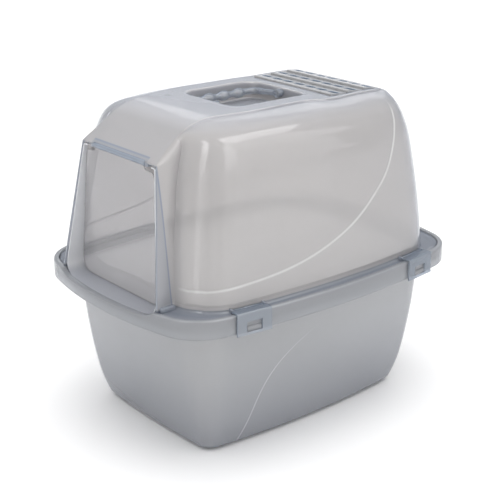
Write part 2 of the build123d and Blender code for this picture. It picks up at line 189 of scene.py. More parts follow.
def whole(pts, nor):
    """Closes right halves with their mirror images."""
    flip = np.array([-1.0, 1.0])
    left, left_n = (pts * flip)[:, -2:0:-1], (nor * flip)[:, -2:0:-1]
    return np.concatenate([pts, left], 1), np.concatenate([nor, left_n], 1)


def q_steps(*counts):
    """Outline stations, evenly spaced inside each of the six stretches."""
    parts = [np.linspace(i, i + 1, n, endpoint=False) for i, n in enumerate(counts)]
    return np.append(np.concatenate(parts), 6.0)


def rounded(points, radii, steps=5):
    """Flat path through corner points, each corner replaced by an arc: a quadratic
    blend from one tangent point over the corner to the next."""
    p = [np.asarray(v, float) for v in points]
    out = [p[0]]
    for a, b, c, r in zip(p, p[1:], p[2:], radii):
        u, v = (a - b) / np.linalg.norm(a - b), (c - b) / np.linalg.norm(c - b)
        t = np.linspace(0, 1, steps)[:, None]
        out.extend((1 - t)**2 * (b + u * r) + 2 * t * (1 - t) * b + t**2 * (b + v * r))
    out.append(p[-1])
    return np.array(out)


def even_steps(path, count):
    """The same path cut at count even distances along its length."""
    run = np.concatenate([[0], np.cumsum(np.linalg.norm(np.diff(path, axis=0), axis=1))])
    at = np.linspace(0, run[-1], count)
    return np.stack([np.interp(at, run, path[:, k]) for k in range(path.shape[1])], -1)


# ---------------------------------------------------------------- meshes
CRISP = 40


class Shell:
    """Patches of points and faces gathered into one mesh."""

    def __init__(self):
        """Starts empty."""
        self.points, self.faces, self.count = [], [], 0

    def add(self, points, faces):
        """Points, and faces that count from the first of them."""
        self.points.append(np.asarray(points, float).reshape(-1, 3))
        self.faces.extend((np.asarray(faces) + self.count).tolist())
        self.count += len(self.points[-1])

    def grid(self, grid, ring=False, flip=False, keep=None):
        """Quads of a rows by columns grid; ring joins the last column to the first."""
        rows, cols = grid.shape[:2]
        i, j = np.meshgrid(np.arange(rows - 1), np.arange(cols if ring else cols - 1),
                           indexing="ij")
        n = (j + 1) % cols
        quads = np.stack([i * cols + j, i * cols + n, (i + 1) * cols + n, (i + 1) * cols + j], -1)
        if flip:
            quads = quads[..., ::-1]
        if keep is not None:
            quads = quads[keep]
        self.add(grid, quads.reshape(-1, 4))

    def cap(self, ring, flip=False):
        """One flat face over a ring of points."""
        order = np.arange(len(ring))
        self.add(ring, [order[::-1] if flip else order])

    def mesh(self, name, weld=0.02, orient=False):
        """Object in metres, doubles merged within weld millimetres; edges that turn by
        more than CRISP degrees stay crisp."""
        data = bpy.data.meshes.new(name)
        data.from_pydata((np.concatenate(self.points) / 1000).tolist(), [], self.faces)
        bm = bmesh.new()
        bm.from_mesh(data)
        bmesh.ops.remove_doubles(bm, verts=bm.verts, dist=weld / 1000)
        loose = [v for v in bm.verts if not v.link_faces]
        bmesh.ops.delete(bm, geom=loose, context="VERTS")
        if orient:
            bmesh.ops.recalc_face_normals(bm, faces=bm.faces)
        bm.to_mesh(data)
        bm.free()
        data.shade_smooth()
        data.set_sharp_from_angle(angle=math.radians(CRISP))
        obj = bpy.data.objects.new(name, data)
        bpy.context.collection.objects.link(obj)
        return obj


def finish_piece(obj, body, nodes, material):
    """Rides on its body, stands for its nodes and takes a material."""
    obj.data.materials.clear()
    obj.data.materials.append(material)
    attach(obj, body)
    if nodes:
        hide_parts(*nodes)
    return obj


def solidify(obj, thickness, even=True):
    """Wall thickness in millimetres, to the inside; even keeps it the same at corners."""
    m = obj.modifiers.new("wall", "SOLIDIFY")
    m.thickness = thickness / 1000
    m.offset = -1.0
    m.use_even_offset = even
    m.use_quality_normals = even


def soften(obj, width):
    """Small round on every edge that turns by more than 35 degrees."""
    m = obj.modifiers.new("edge_round", "BEVEL")
    m.width = width / 1000
    m.segments = 2
    m.limit_method = "ANGLE"
    m.angle_limit = math.radians(35)
    m.harden_normals = False


def points_of(obj):
    """Every vertex of a mesh, in millimetres."""
    co = np.empty(len(obj.data.vertices) * 3)
    obj.data.vertices.foreach_get("co", co)
    return co.reshape(-1, 3) * 1000


def store(obj, **values):
    """Keeps one number on each vertex under each name, for the materials to read."""
    for name, value in values.items():
        layer = obj.data.attributes.new(name, "FLOAT", "POINT")
        layer.data.foreach_set("value", value.astype(np.float32))


# ---------------------------------------------------------------- moulded marks
# the raised curved line moulded into each side: (y, z) points on the hood and on the tub
HOOD_MARK = [(128.0, 396.0), (124.5, 377.2), (112.1, 342.8), (94.8, 315.0), (77.7, 299.8),
             (44.5, 275.6), (-0.5, 254.4), (-57.0, 238.5), (-116.2, 230.9), (-165.1, 227.2),
             (-181.0, 225.6), (-206.0, 225.0)]
TUB_MARK = [(64.0, 178.0), (20.0, 163.0), (-30.3, 140.0), (-60.5, 122.4), (-87.9, 95.3),
            (-110.0, 43.5), (-121.0, 4.0), (-124.0, -10.0)]
MARK_STEPS, MARK_REACH = 160, 40            # points along the line, farthest distance kept
FAR = 50.0                                  # stored where a mark doesn't reach


def mark_side(obj, points, fade):
    """Stores on each vertex its distance in millimetres from the side line: the length
    to the nearest stretch of a smooth curve through the points in (y, z), positive on
    the side below and behind the line. A second value, 0 to 1, says how far the line
    has died away there."""
    p = np.array(points)
    run = np.concatenate([[0], np.cumsum(np.hypot(*np.diff(p, axis=0).T))])
    c = spline(np.linspace(0, run[-1], MARK_STEPS), run, p)
    full = points_of(obj)
    v = full[:, 1:]
    a, b = c[:-1], c[1:]
    ab = b - a
    t = ((v[:, None] - a) * ab).sum(-1) / (ab**2).sum(-1)
    near = a + np.clip(t, 0, 1)[..., None] * ab
    gap = np.linalg.norm(v[:, None] - near, axis=-1)
    k = gap.argmin(1)
    rows = np.arange(len(v))
    d = v - a[k]
    turn = ab[k, 0] * d[:, 1] - ab[k, 1] * d[:, 0]
    signed = gap[rows, k] * np.where(turn > 0, 1.0, -1.0)
    store(obj, side_line=np.clip(signed, -MARK_REACH, MARK_REACH),
          side_fade=fade(np.abs(full[:, 0]), full[:, 2]))


def hood_fade(wide, z):
    """One on the hood walls, falling to nothing near the roof, the porch and the flange."""
    return smooth((400 - z) / 16) * smooth((wide - 104) / 10) * smooth((z - 203) / 8)


def tub_fade(wide, z):
    """One on the tub, falling to nothing under the rim."""
    return smooth((150 - z) / 45) * smooth((wide - 80) / 10)


def mark_hood(obj):
    """Stores three more values on the hood, which place painted shade. Crease: a bell, e to the
    minus square, of the distance out from the roof panel's edge and of the distance in from the
    well's edge, for painted shade along the step and the well's lip. Jamb depth and jamb edge: on
    the porch sides and over the lintel, the millimetres in front of the flap's plane and behind
    the porch's front edge, for painted shade where the entrance wall shows through and along
    its edges."""
    x, y, z = points_of(obj).T
    wide = np.abs(x)
    edge_z, edge_x = roof_edge(np.clip(y, ROOF_FRONT, ROOF_REAR))
    out = np.maximum(wide - edge_x, y - ROOF_REAR)
    crease_at, crease_half, lip_at, lip_half = 1.9, 1.2, 0.1, 0.9
    crease = np.exp(-((out - crease_at) / crease_half)**2) * (z > edge_z - 4.5)
    crease *= smooth((y - JOIN_Y) / 30)
    hx, hy, ym, rc, floor_z = WELL
    ax, ay = wide - (hx - rc), np.abs(y - ym) - (hy - rc)
    into = np.where((ax > 0) & (ay > 0), rc - np.hypot(ax, ay), rc - np.maximum(ax, ay))
    lip = np.exp(-((into - lip_at) / lip_half)**2) * (z > floor_z + 9)
    jamb_y, lintel_y, head_z = -202.8, -197.6, PORCH_HEAD[2]
    porch = (y < -196.0) & (z < head_z + 0.5) & (wide > 70.0) & (z > 204.4)
    lintel = (y < -186.0) & (z > head_z - 0.5) & (wide < 58.0)
    depth = np.where(porch, jamb_y - y, np.where(lintel, lintel_y - y, -FAR))
    store(obj, crease=np.maximum(crease, lip), jamb_depth=depth,
          jamb_edge=np.where(porch, y - porch_front(z)[1], FAR))


# ---------------------------------------------------------------- finishes
def feed(tree, node, key, value):
    """Sets a node's input, or links it to another node's output."""
    if isinstance(value, bpy.types.NodeSocket):
        tree.links.new(value, node.inputs[key])
    else:
        node.inputs[key].default_value = value


def add_node(tree, kind, **inputs):
    """A node of a kind, each named input (blanks written as underscores) set or linked."""
    node = tree.nodes.new("ShaderNode" + kind)
    for key, value in inputs.items():
        feed(tree, node, key.replace("_", " "), value)
    return node


def maths(tree, kind, *values):
    """Result of a Math node."""
    node = tree.nodes.new("ShaderNodeMath")
    node.operation = kind
    for key, value in enumerate(values):
        feed(tree, node, key, value)
    return node.outputs["Value"]


def eased(tree, value, low=0.0, high=1.0, start=0.0, end=1.0):
    """Smooth step of a value: start at low and beyond, end at high and beyond."""
    node = add_node(tree, "MapRange", Value=value, From_Min=low, From_Max=high, To_Min=start,
                    To_Max=end)
    node.interpolation_type = "SMOOTHSTEP"
    return node.outputs["Result"]


def stored(tree, name):
    """The number kept on the mesh under a name."""
    node = tree.nodes.new("ShaderNodeAttribute")
    node.attribute_name = name
    return node.outputs["Fac"]


def band(tree, value, low, high, blur):
    """A mask that is 1 where a value lies between low and high and falls to nothing over
    blur outside both: the product of two smooth steps."""
    return maths(tree, "MULTIPLY", eased(tree, value, low - blur, low),
                 eased(tree, value, high + blur, high))


def lay_out(tree):
    """Puts each node in a column by how many links part it from the output."""
    column = {node.name: 0 for node in tree.nodes}
    for _ in tree.nodes:
        for link in tree.links:
            source, target = link.from_node.name, link.to_node.name
            column[source] = max(column[source], column[target] + 1)
    rows = {}
    for name, k in column.items():
        rows[k] = rows.get(k, 0) + 1
        tree.nodes[name].location = (-240 * k, -280 * rows[k])


def new_group(name, inputs, outputs):
    """A node group of plain numbers, with the outputs of its input node and its output
    node. Inputs are (name, usual value) pairs."""
    tree = bpy.data.node_groups.new(name, "ShaderNodeTree")
    for label, value in inputs:
        socket = tree.interface.new_socket(label, in_out="INPUT", socket_type="NodeSocketFloat")
        socket.default_value = value
    for label in outputs:
        tree.interface.new_socket(label, in_out="OUTPUT", socket_type="NodeSocketFloat")
    given = tree.nodes.new("NodeGroupInput").outputs if inputs else None
    return tree, given, tree.nodes.new("NodeGroupOutput")


def group_node(tree, name, **inputs):
    """Outputs of a node group placed in a tree, with its named inputs set."""
    node = tree.nodes.new("ShaderNodeGroup")
    node.node_tree = bpy.data.node_groups[name]
    for key, value in inputs.items():
        feed(tree, node, key, value)
    return node.outputs


def make_moulded_group():
    """Moulded plastic: faint flow marks in the colour and a fine, wavy skin. The mask is
    large soft noise stretched along Z; the height is that plus a quarter of fine noise."""
    g, given, out = new_group("moulded_skin", [("Flow Scale", 9.0), ("Skin Scale", 420.0)],
                              ["Flow", "Height"])
    coord = add_node(g, "TexCoord").outputs["Object"]
    stretched = add_node(g, "Mapping", Vector=coord, Scale=(1.0, 1.0, 0.35)).outputs["Vector"]
    flow = add_node(g, "TexNoise", Vector=stretched, Scale=given["Flow Scale"], Detail=2.0,
                    Roughness=0.4).outputs["Fac"]
    skin = add_node(g, "TexNoise", Vector=coord, Scale=given["Skin Scale"],
                    Detail=1.0).outputs["Fac"]
    feed(g, out, "Flow", flow)
    feed(g, out, "Height", maths(g, "MULTIPLY_ADD", skin, 0.25, flow))
    lay_out(g)


def make_height_group():
    """Shade by height: 0 at and below Low, 1 at and above High, eased between. Painted shade on
    the rim, the hood's flange, the sill and the floor end of the tub, and painted light on the
    roof, the foot of the hood wall and the top of the bead, are laid on this way."""
    g, given, out = new_group("height_shade", [("Low", 0.0), ("High", 0.2)], ["Mask"])
    split = add_node(g, "SeparateXYZ", Vector=add_node(g, "TexCoord").outputs["Object"])
    feed(g, out, "Mask", eased(g, split.outputs["Z"], given["Low"], given["High"]))
    lay_out(g)


def make_line_group():
    """Moulded side line: the stored distance over Width gives a soft step one way across it
    (the height) and a narrow painted highlight along its crest (the mask), both times the fade."""
    g, given, out = new_group("side_mark", [("Width", 1.2)], ["Step", "Crest"])
    across = maths(g, "DIVIDE", stored(g, "side_line"), given["Width"])
    fade = stored(g, "side_fade")
    crest = eased(g, maths(g, "ABSOLUTE", across), start=1.0, end=0.0)
    feed(g, out, "Step", maths(g, "MULTIPLY", eased(g, across, low=-1.0), fade))
    feed(g, out, "Crest", maths(g, "MULTIPLY", crest, fade))
    lay_out(g)


GATE_AT = (-0.0492, -0.0942, 0.4095)        # middle of the gate mark, in metres
GATE_OUTER, GATE_INNER = 0.0062, 0.0030     # where it has died away, where it is full


def make_hood_marks_group():
    """Painted marks on the hood, as masks: painted shade along the step round the roof panel
    and the well, painted shade where the wall of the entrance shows through the porch sides,
    painted shade lines at its rear and front edges, and the round gate mark on the roof, from
    the distance to its middle."""
    g, _, out = new_group("hood_marks", [], ["Crease", "Jamb", "Jamb Line", "Front Line", "Gate"])
    depth, edge = stored(g, "jamb_depth"), stored(g, "jamb_edge")
    away = g.nodes.new("ShaderNodeVectorMath")
    away.operation = "DISTANCE"
    feed(g, away, 0, add_node(g, "TexCoord").outputs["Object"])
    feed(g, away, 1, GATE_AT)
    feed(g, out, "Crease", stored(g, "crease"))
    feed(g, out, "Jamb", band(g, depth, 0.0, 40.0, 0.5))
    feed(g, out, "Jamb Line", band(g, depth, -0.35, 0.55, 0.9))
    feed(g, out, "Front Line", band(g, edge, -9.0, 0.8, 0.9))
    feed(g, out, "Gate", eased(g, away.outputs["Value"], GATE_OUTER, GATE_INNER))
    lay_out(g)


FLOW_TINT = (0.94, 0.95, 0.96)              # colour of the flow marks
SKIN_DEPTH, SKIN_STRENGTH = 0.012, 0.25     # fine skin: millimetres, share shown


def plastic(name, light, dark, clear, rough, shades=(), line=0.0, edge=0.35, width=1.5,
            crest=(0.97, 0.97, 0.96), marks=(), bend=1.0, ior=1.49):
    """Translucent moulded plastic: a milky body that lets the share clear of the light
    through, of the colour light, and dark where the wall is seen edge on, the more
    suddenly the higher the power bend. Each shade is (low, high, tint), painted shade where
    the tint is below one and painted light where it is above: the colour is multiplied by
    tint from the height low outwards and left alone from high outwards, low being the upper
    one where the tint belongs above. Line is the height of the side line and width half its
    width, both in millimetres, and crest the colour of the painted highlight along it. Marks
    are (mask, way of mixing, colour) of the hood's marks: painted shade, and the gate mark."""
    m = bpy.data.materials.new(name)
    m.use_nodes = True
    t = m.node_tree
    t.nodes.clear()

    def blend(kind, a, b, factor):
        """Result of mixing two colours, each a constant or another node's output."""
        node = t.nodes.new("ShaderNodeMix")
        node.data_type = "RGBA"
        node.blend_type = kind
        for key, value in (("A", a), ("B", b), ("Factor", factor)):
            feed(t, node, key, (*value, 1) if isinstance(value, tuple) else value)
        return node.outputs["Result"]

    skin = group_node(t, "moulded_skin")
    facing = add_node(t, "LayerWeight", Blend=edge).outputs["Facing"]
    colour = blend("MIX", light, dark, maths(t, "POWER", facing, bend))
    colour = blend("MULTIPLY", colour, FLOW_TINT, skin["Flow"])
    for low, high, tint in shades:
        mask = group_node(t, "height_shade", Low=low, High=high)["Mask"]
        colour = blend("MULTIPLY", colour, tint, maths(t, "SUBTRACT", 1.0, mask))
    if marks:
        masks = group_node(t, "hood_marks")
        for mask, kind, tint in marks:
            colour = blend(kind, colour, tint, masks[mask])
    bump = add_node(t, "Bump", Strength=SKIN_STRENGTH, Distance=SKIN_DEPTH / 1000,
                    Height=skin["Height"])
    if line:
        mark = group_node(t, "side_mark", Width=width)
        colour = blend("MIX", colour, crest, mark["Crest"])
        ridge = add_node(t, "Bump", Distance=line / 1000, Height=mark["Step"])
        feed(t, bump, "Normal", ridge.outputs["Normal"])
    body = add_node(t, "BsdfPrincipled", Base_Color=colour, Roughness=rough, IOR=ior,
                    Transmission_Weight=clear, Normal=bump.outputs["Normal"])
    add_node(t, "OutputMaterial", Surface=body.outputs["BSDF"])
    lay_out(t)
    return m


def felt(name):
    """Felted carbon pad: charcoal, mottled by soft noise, with a fuzzy fibre bump."""
    m = bpy.data.materials.new(name)
    m.use_nodes = True
    t = m.node_tree
    coord = add_node(t, "TexCoord").outputs["Object"]
    cloud = add_node(t, "TexNoise", Vector=coord, Scale=60.0)
    fibre = add_node(t, "TexNoise", Vector=coord, Scale=900.0, Distortion=2.0)
    shade = add_node(t, "ValToRGB", Fac=cloud.outputs["Fac"])
    shade.color_ramp.elements[0].color = (0.030, 0.033, 0.037, 1)
    shade.color_ramp.elements[1].color = (0.085, 0.088, 0.092, 1)
    bump = add_node(t, "Bump", Distance=0.0004, Height=fibre.outputs["Fac"])
    for key, value in (("Base Color", shade.outputs["Color"]), ("Roughness", 0.95),
                       ("Sheen Weight", 0.3), ("Normal", bump.outputs["Normal"])):
        feed(t, t.nodes["Principled BSDF"], key, value)
    lay_out(t)
    return m


make_moulded_group()
make_height_group()
make_line_group()
make_hood_marks_group()
# the shades: painted shade on the tub towards its floor and on the skirt and rim, a painted
# highlight on the top of the bead; the crest colour is the side line's painted highlight
PAN_FINISH = plastic(
    "smoke_pan", (0.648, 0.648, 0.652), (0.43, 0.46, 0.505), 0.50, 0.20,
    shades=[(0.0, 0.16, (0.74, 0.75, 0.79)), (0.1785, 0.1765, (0.735, 0.745, 0.765)),
            (0.2013, 0.2003, (1.16, 1.16, 1.15))],
    line=0.8, crest=(0.76, 0.77, 0.81))
# a paler copy of the pan's plastic for the inside of the tub: painted light
PAN_INSIDE_PAINTED_LIGHT = plastic("smoke_pan_inside_painted_light", (0.93, 0.91, 0.90), (0.66, 0.68, 0.72), 0.50, 0.20)
# the shades: painted light on the roof, a painted highlight along the foot of the wall with the
# flange, painted shade on the flange alone
HOOD_FINISH = plastic(
    "smoke_hood", (0.705, 0.682, 0.672), (0.26, 0.34, 0.47), 0.55, 0.07, edge=0.5, bend=2.6,
    shades=[(0.4080, 0.3960, (1.25, 1.25, 1.25)), (0.2070, 0.2080, (1.10, 1.10, 1.10)),
            (0.2036, 0.2046, (0.55, 0.60, 0.67))],
    # the crest colour is the side line's painted highlight
    line=1.5, width=2.7, crest=(1.0, 1.0, 0.99),
    # the marks: painted shade where the entrance wall shows through the porch sides and over the
    # lintel, painted shade lines at its edges and along the step round the roof panel and the well,
    # then the gate mark
    marks=[("Jamb", "MULTIPLY", (0.84, 0.87, 0.92)), ("Jamb Line", "MIX", (0.42, 0.47, 0.57)),
           ("Front Line", "MIX", (0.50, 0.54, 0.61)), ("Crease", "MULTIPLY", (0.70, 0.73, 0.78)),
           ("Gate", "MULTIPLY", (0.86, 0.86, 0.87))])
# a paler copy of the hood's plastic for the entrance liner, painted light, with painted shade on
# its sill
FRAME_FINISH = plastic("smoke_frame", (0.95, 0.95, 0.965), (0.72, 0.74, 0.79), 0.28, 0.08,
                       shades=[(0.1955, 0.2060, (0.60, 0.61, 0.64))])
FLAP_FINISH = plastic("clear_flap", (0.965, 0.925, 0.905), (0.60, 0.66, 0.75), 0.81, 0.03, ior=1.25)
TRIM_FINISH = plastic("smoke_trim", (0.78, 0.80, 0.83), (0.18, 0.27, 0.41), 0.68, 0.06, edge=0.5)
BARREL_FINISH = plastic("smoke_barrel", (0.52, 0.56, 0.62), (0.22, 0.29, 0.39), 0.40, 0.08,
                        edge=0.5)
VENT_FINISH = plastic("smoke_vent", (0.68, 0.68, 0.69), (0.54, 0.56, 0.60), 0.35, 0.16)
# painted shade inside the vent's slots and on the risers under each louvre's edge
SLOT_PAINTED_SHADE = plastic("smoke_shadow", (0.20, 0.26, 0.36), (0.14, 0.19, 0.28), 0.10, 0.45)
RISER_PAINTED_SHADE = plastic("smoke_riser_painted_shade", (0.50, 0.49, 0.48), (0.40, 0.40, 0.42), 0.20, 0.20)
LATCH_FINISH = plastic("smoke_latch", (0.60, 0.63, 0.67), (0.18, 0.25, 0.35), 0.62, 0.08, edge=0.58)
FELT_FINISH = felt("filter_felt")


# ---------------------------------------------------------------- litter pan
def tub_shape(z):
    """Tub outline at height z, read from the table by spline."""
    v = spline(z, TUB[:, 0], TUB[:, 1:])
    return v[..., 0], v[..., 1], v[..., 2], v[..., 3], v[..., 4]


def make_pan():
    """One closed surface: rings from the middle of the underside out, up the outer wall,
    round the skirt and the bead, over the channel and down the inner wall. A ring is
    the tub or rim outline moved along its normal by an inset; a rounded edge is a
    quarter or half circle in inset and height."""
    q = q_steps(12, 16, 12, 12, 16, 12)
    cove_r, nook_r, lip_r = 3.0, 2.0, SKIRT_T / 2
    bead_r, lap_r, ditch_r, mouth_r = 2.8, 1.6, 1.4, 1.6

    def rings(z, inset, shape_at):
        """Outline of shape_at(z) at each height z, drawn in by inset."""
        z, inset = np.atleast_1d(np.asarray(z, float)), np.atleast_1d(np.asarray(inset, float))
        p, n = whole(*half_outline(shape_at(z), np.zeros(len(z)), q))
        return np.dstack([p - n * inset[:, None, None], np.broadcast_to(z[:, None], p.shape[:2])])

    def tub(z, inset):
        """Rings of the tub."""
        return rings(z, inset, lambda h: tub_shape(np.clip(h, 0, CHANNEL_TOP)))

    def rim(z, inset):
        """Rings of the rim."""
        return rings(z, inset, lambda h: tuple(np.full(len(h), v) for v in RIM))

    def across(start, stop):
        """Three rings over the flat from start to stop."""
        return np.concatenate([mix(start, stop, t) for t in (0.33, 0.66, 1.0)])

    bottom = tub(0.0, 0.0) * np.array([0.03, 0.3, 0.6, 0.85, 0.96])[:, None, None]
    wall_z = np.concatenate([[0, 0.5, 1.2, 2.2, 3.6, 5.5, 8, 11], np.arange(15, 180, 6.0), [183.0]])
    outer = tub(wall_z, 0 * wall_z)
    a = arc_angles(6)
    cove = tub(RIM_SHELF - cove_r + cove_r * np.sin(a), -cove_r * (1 - np.cos(a)))
    shelf = across(tub(RIM_SHELF, -cove_r), rim(RIM_SHELF, SKIRT_T + nook_r))
    a = arc_angles(5)
    nook = rim(RIM_SHELF - nook_r + nook_r * np.cos(a), SKIRT_T + nook_r - nook_r * np.sin(a))
    skirt_in = rim([183, SKIRT_BOTTOM + lip_r], [SKIRT_T, SKIRT_T])
    a = arc_angles(7, stop=180)
    lip = rim(SKIRT_BOTTOM + lip_r - lip_r * np.sin(a), lip_r + lip_r * np.cos(a))
    skirt_z = np.array([183, 188, 193, RIM_TOP - bead_r])
    skirt_out = rim(skirt_z, 0 * skirt_z)
    a = arc_angles(7)
    bead_out = rim(RIM_TOP - bead_r + bead_r * np.sin(a), bead_r - bead_r * np.cos(a))
    a = arc_angles(6, first=0)
    bead_in = rim(RIM_TOP - lap_r + lap_r * np.cos(a), BEAD_W - lap_r + lap_r * np.sin(a))
    a = arc_angles(5, first=0)
    ditch = rim(CHANNEL_TOP + ditch_r - ditch_r * np.sin(a), BEAD_W + ditch_r - ditch_r * np.cos(a))
    floor = across(rim(CHANNEL_TOP, BEAD_W + ditch_r), tub(CHANNEL_TOP, PAN_WALL - mouth_r))
    a = arc_angles(5)
    mouth = tub(CHANNEL_TOP - mouth_r + mouth_r * np.cos(a),
                PAN_WALL - mouth_r + mouth_r * np.sin(a))
    mouth[..., 2] = np.minimum(mouth[..., 2], CHANNEL_TOP)
    in_z = np.concatenate([np.arange(183, 14, -7.5), [12.0]])
    inner = tub(in_z, PAN_WALL + 0 * in_z)
    sole = tub([8, 5.8, 4.4, 3.5, PAN_FLOOR], [3.0, 3.9, 5.6, 8.4, 12.0])
    bed = sole[-1:] * np.array([0.93, 0.8, 0.6, 0.3, 0.03])[:, None, None]
    bed[..., 2] = PAN_FLOOR
    body = np.concatenate([bottom, outer, cove, shelf, nook, skirt_in, lip, skirt_out,
                           bead_out, bead_in, ditch, floor, mouth, inner, sole, bed])
    # the bead dips over the width of the entrance
    x, y, z = body[..., 0], body[..., 1], body[..., 2]
    dip_half, dip_ease = 100, 18
    low = DIP * smooth((dip_half - np.abs(x)) / dip_ease) * (y < 0) * (z > CHANNEL_TOP + 0.5)
    body[..., 2] = z - low * np.clip((z - CHANNEL_TOP) / (RIM_TOP - CHANNEL_TOP), 0, 1)
    s = Shell()
    s.grid(body, ring=True)
    s.cap(body[0], flip=True)
    s.cap(body[-1])
    return s.mesh("litter_pan_moulding", orient=True)


def face_table(obj):
    """Middle in millimetres and outward direction of every face."""
    mid, way = np.empty(len(obj.data.polygons) * 3), np.empty(len(obj.data.polygons) * 3)
    obj.data.polygons.foreach_get("center", mid)
    obj.data.polygons.foreach_get("normal", way)
    return mid.reshape(-1, 3) * 1000, way.reshape(-1, 3)


def refinish(obj, material, chosen):
    """A second finish on the chosen faces."""
    obj.data.materials.append(material)
    index = np.empty(len(obj.data.polygons), np.int32)
    obj.data.polygons.foreach_get("material_index", index)
    index[chosen] = len(obj.data.materials) - 1
    obj.data.polygons.foreach_set("material_index", index)


def brighten_inside(obj):
    """Gives the inside of the tub and its floor their own paler finish: painted light, the tub
    seen lit through its walls.
    """
    (x, y, z), (nx, ny, nz) = (v.T for v in face_table(obj))
    half_x, half_y, top, floor_top = 151, 201, 190, 12
    inward = (x * nx + y * ny < 0) & (np.abs(x) < half_x) & (np.abs(y) < half_y) & (z < top)
    refinish(obj, PAN_INSIDE_PAINTED_LIGHT, inward | ((nz > 0.9) & (z < floor_top)))


pan = finish_piece(make_pan(), "pan", ["litter_pan"], PAN_FINISH)
brighten_inside(pan)
mark_side(pan, TUB_MARK, tub_fade)


# ---------------------------------------------------------------- hood
def wall_shape(z):
    """Hood wall outline at height z: shape values and the middle y."""
    v = spline(z, WALL[:, 0], WALL[:, 1:])
    return (v[..., 0], v[..., 1], (v[..., 3] - v[..., 2]) / 2, v[..., 4], v[..., 5]), \
        (v[..., 2] + v[..., 3]) / 2


def valley_x(z):
    """Half width of the porch where it runs into the front wall, at height z."""
    return 96.7 - 0.1231 * (np.asarray(z, float) - 221.8)


def porch_front(z):
    """Front edge of the porch side at height z: half width and y, on a straight line."""
    t = (z - PORCH_FOOT[2]) / (PORCH_HEAD[2] - PORCH_FOOT[2])
    return mix(PORCH_FOOT[0], PORCH_HEAD[0], t), mix(PORCH_FOOT[1], PORCH_HEAD[1], t)


def roof_edge(y):
    """Edge of the roof panel at y: height and half width."""
    v = spline(y, ROOF[:, 0], ROOF[:, 1:])
    return v[..., 0], v[..., 1]


# the small step up to the roof panel: distance out from its edge, height over it
RISE = np.array([(3.4, -2.7), (2.6, -2.5), (1.9, -1.9), (1.3, -1.0), (0.7, -0.3), (0.0, 0.0)])
BLEND_ROWS = 14                             # rings from the wall's top to the foot of that step
FRONT_ROWS = BLEND_ROWS + len(RISE)


def panel_lines():
    """Stations of the roof panel: y values from the lintel back, and x fractions. They
    crowd where the well and the vent seat have their rounded edges."""
    lip = np.array([-4.0, -2.4, -1.5, -0.8, -0.35, 0.0, 0.25, 0.5, 0.9, 1.7, 3.2, 5.5, 9.0])
    hx, hy, ym, _, _ = WELL
    y0, y1 = ym - hy, ym + hy
    front = np.linspace(ROOF_FRONT, JOIN_Y, FRONT_ROWS + 1)
    ys = np.concatenate([front, np.linspace(JOIN_Y, y0 - 4, 16)[1:-1], y0 + lip,
                         np.linspace(y0 + 9, y1 - 9, 14)[1:-1], (y1 - lip)[::-1],
                         np.linspace(y1 + 4, SEAT[1] - 3, 5)[1:-1],
                         SEAT[1] + np.array([-3.0, -1.2, -0.5, 0.0, 0.2, 0.8, DUCT[1] - SEAT[1]]),
                         np.linspace(DUCT[1], DUCT[2], 10)[1:-1],
                         SEAT[2] + np.array([DUCT[2] - SEAT[2], -0.8, -0.2, 0.0, 0.5, 1.2, 3.65])])
    xs = np.concatenate([np.linspace(0, hx - 9, 7)[:-1], hx - lip[::-1],
                         np.linspace(hx + 4, DUCT[0], 5)[1:],
                         SEAT[0] + np.array([-0.8, -0.2, 0.0, 0.5, 1.2, 3.0]), [81.5, 84.0]])
    return np.unique(np.round(ys, 3)), np.unique(np.round(xs, 3))


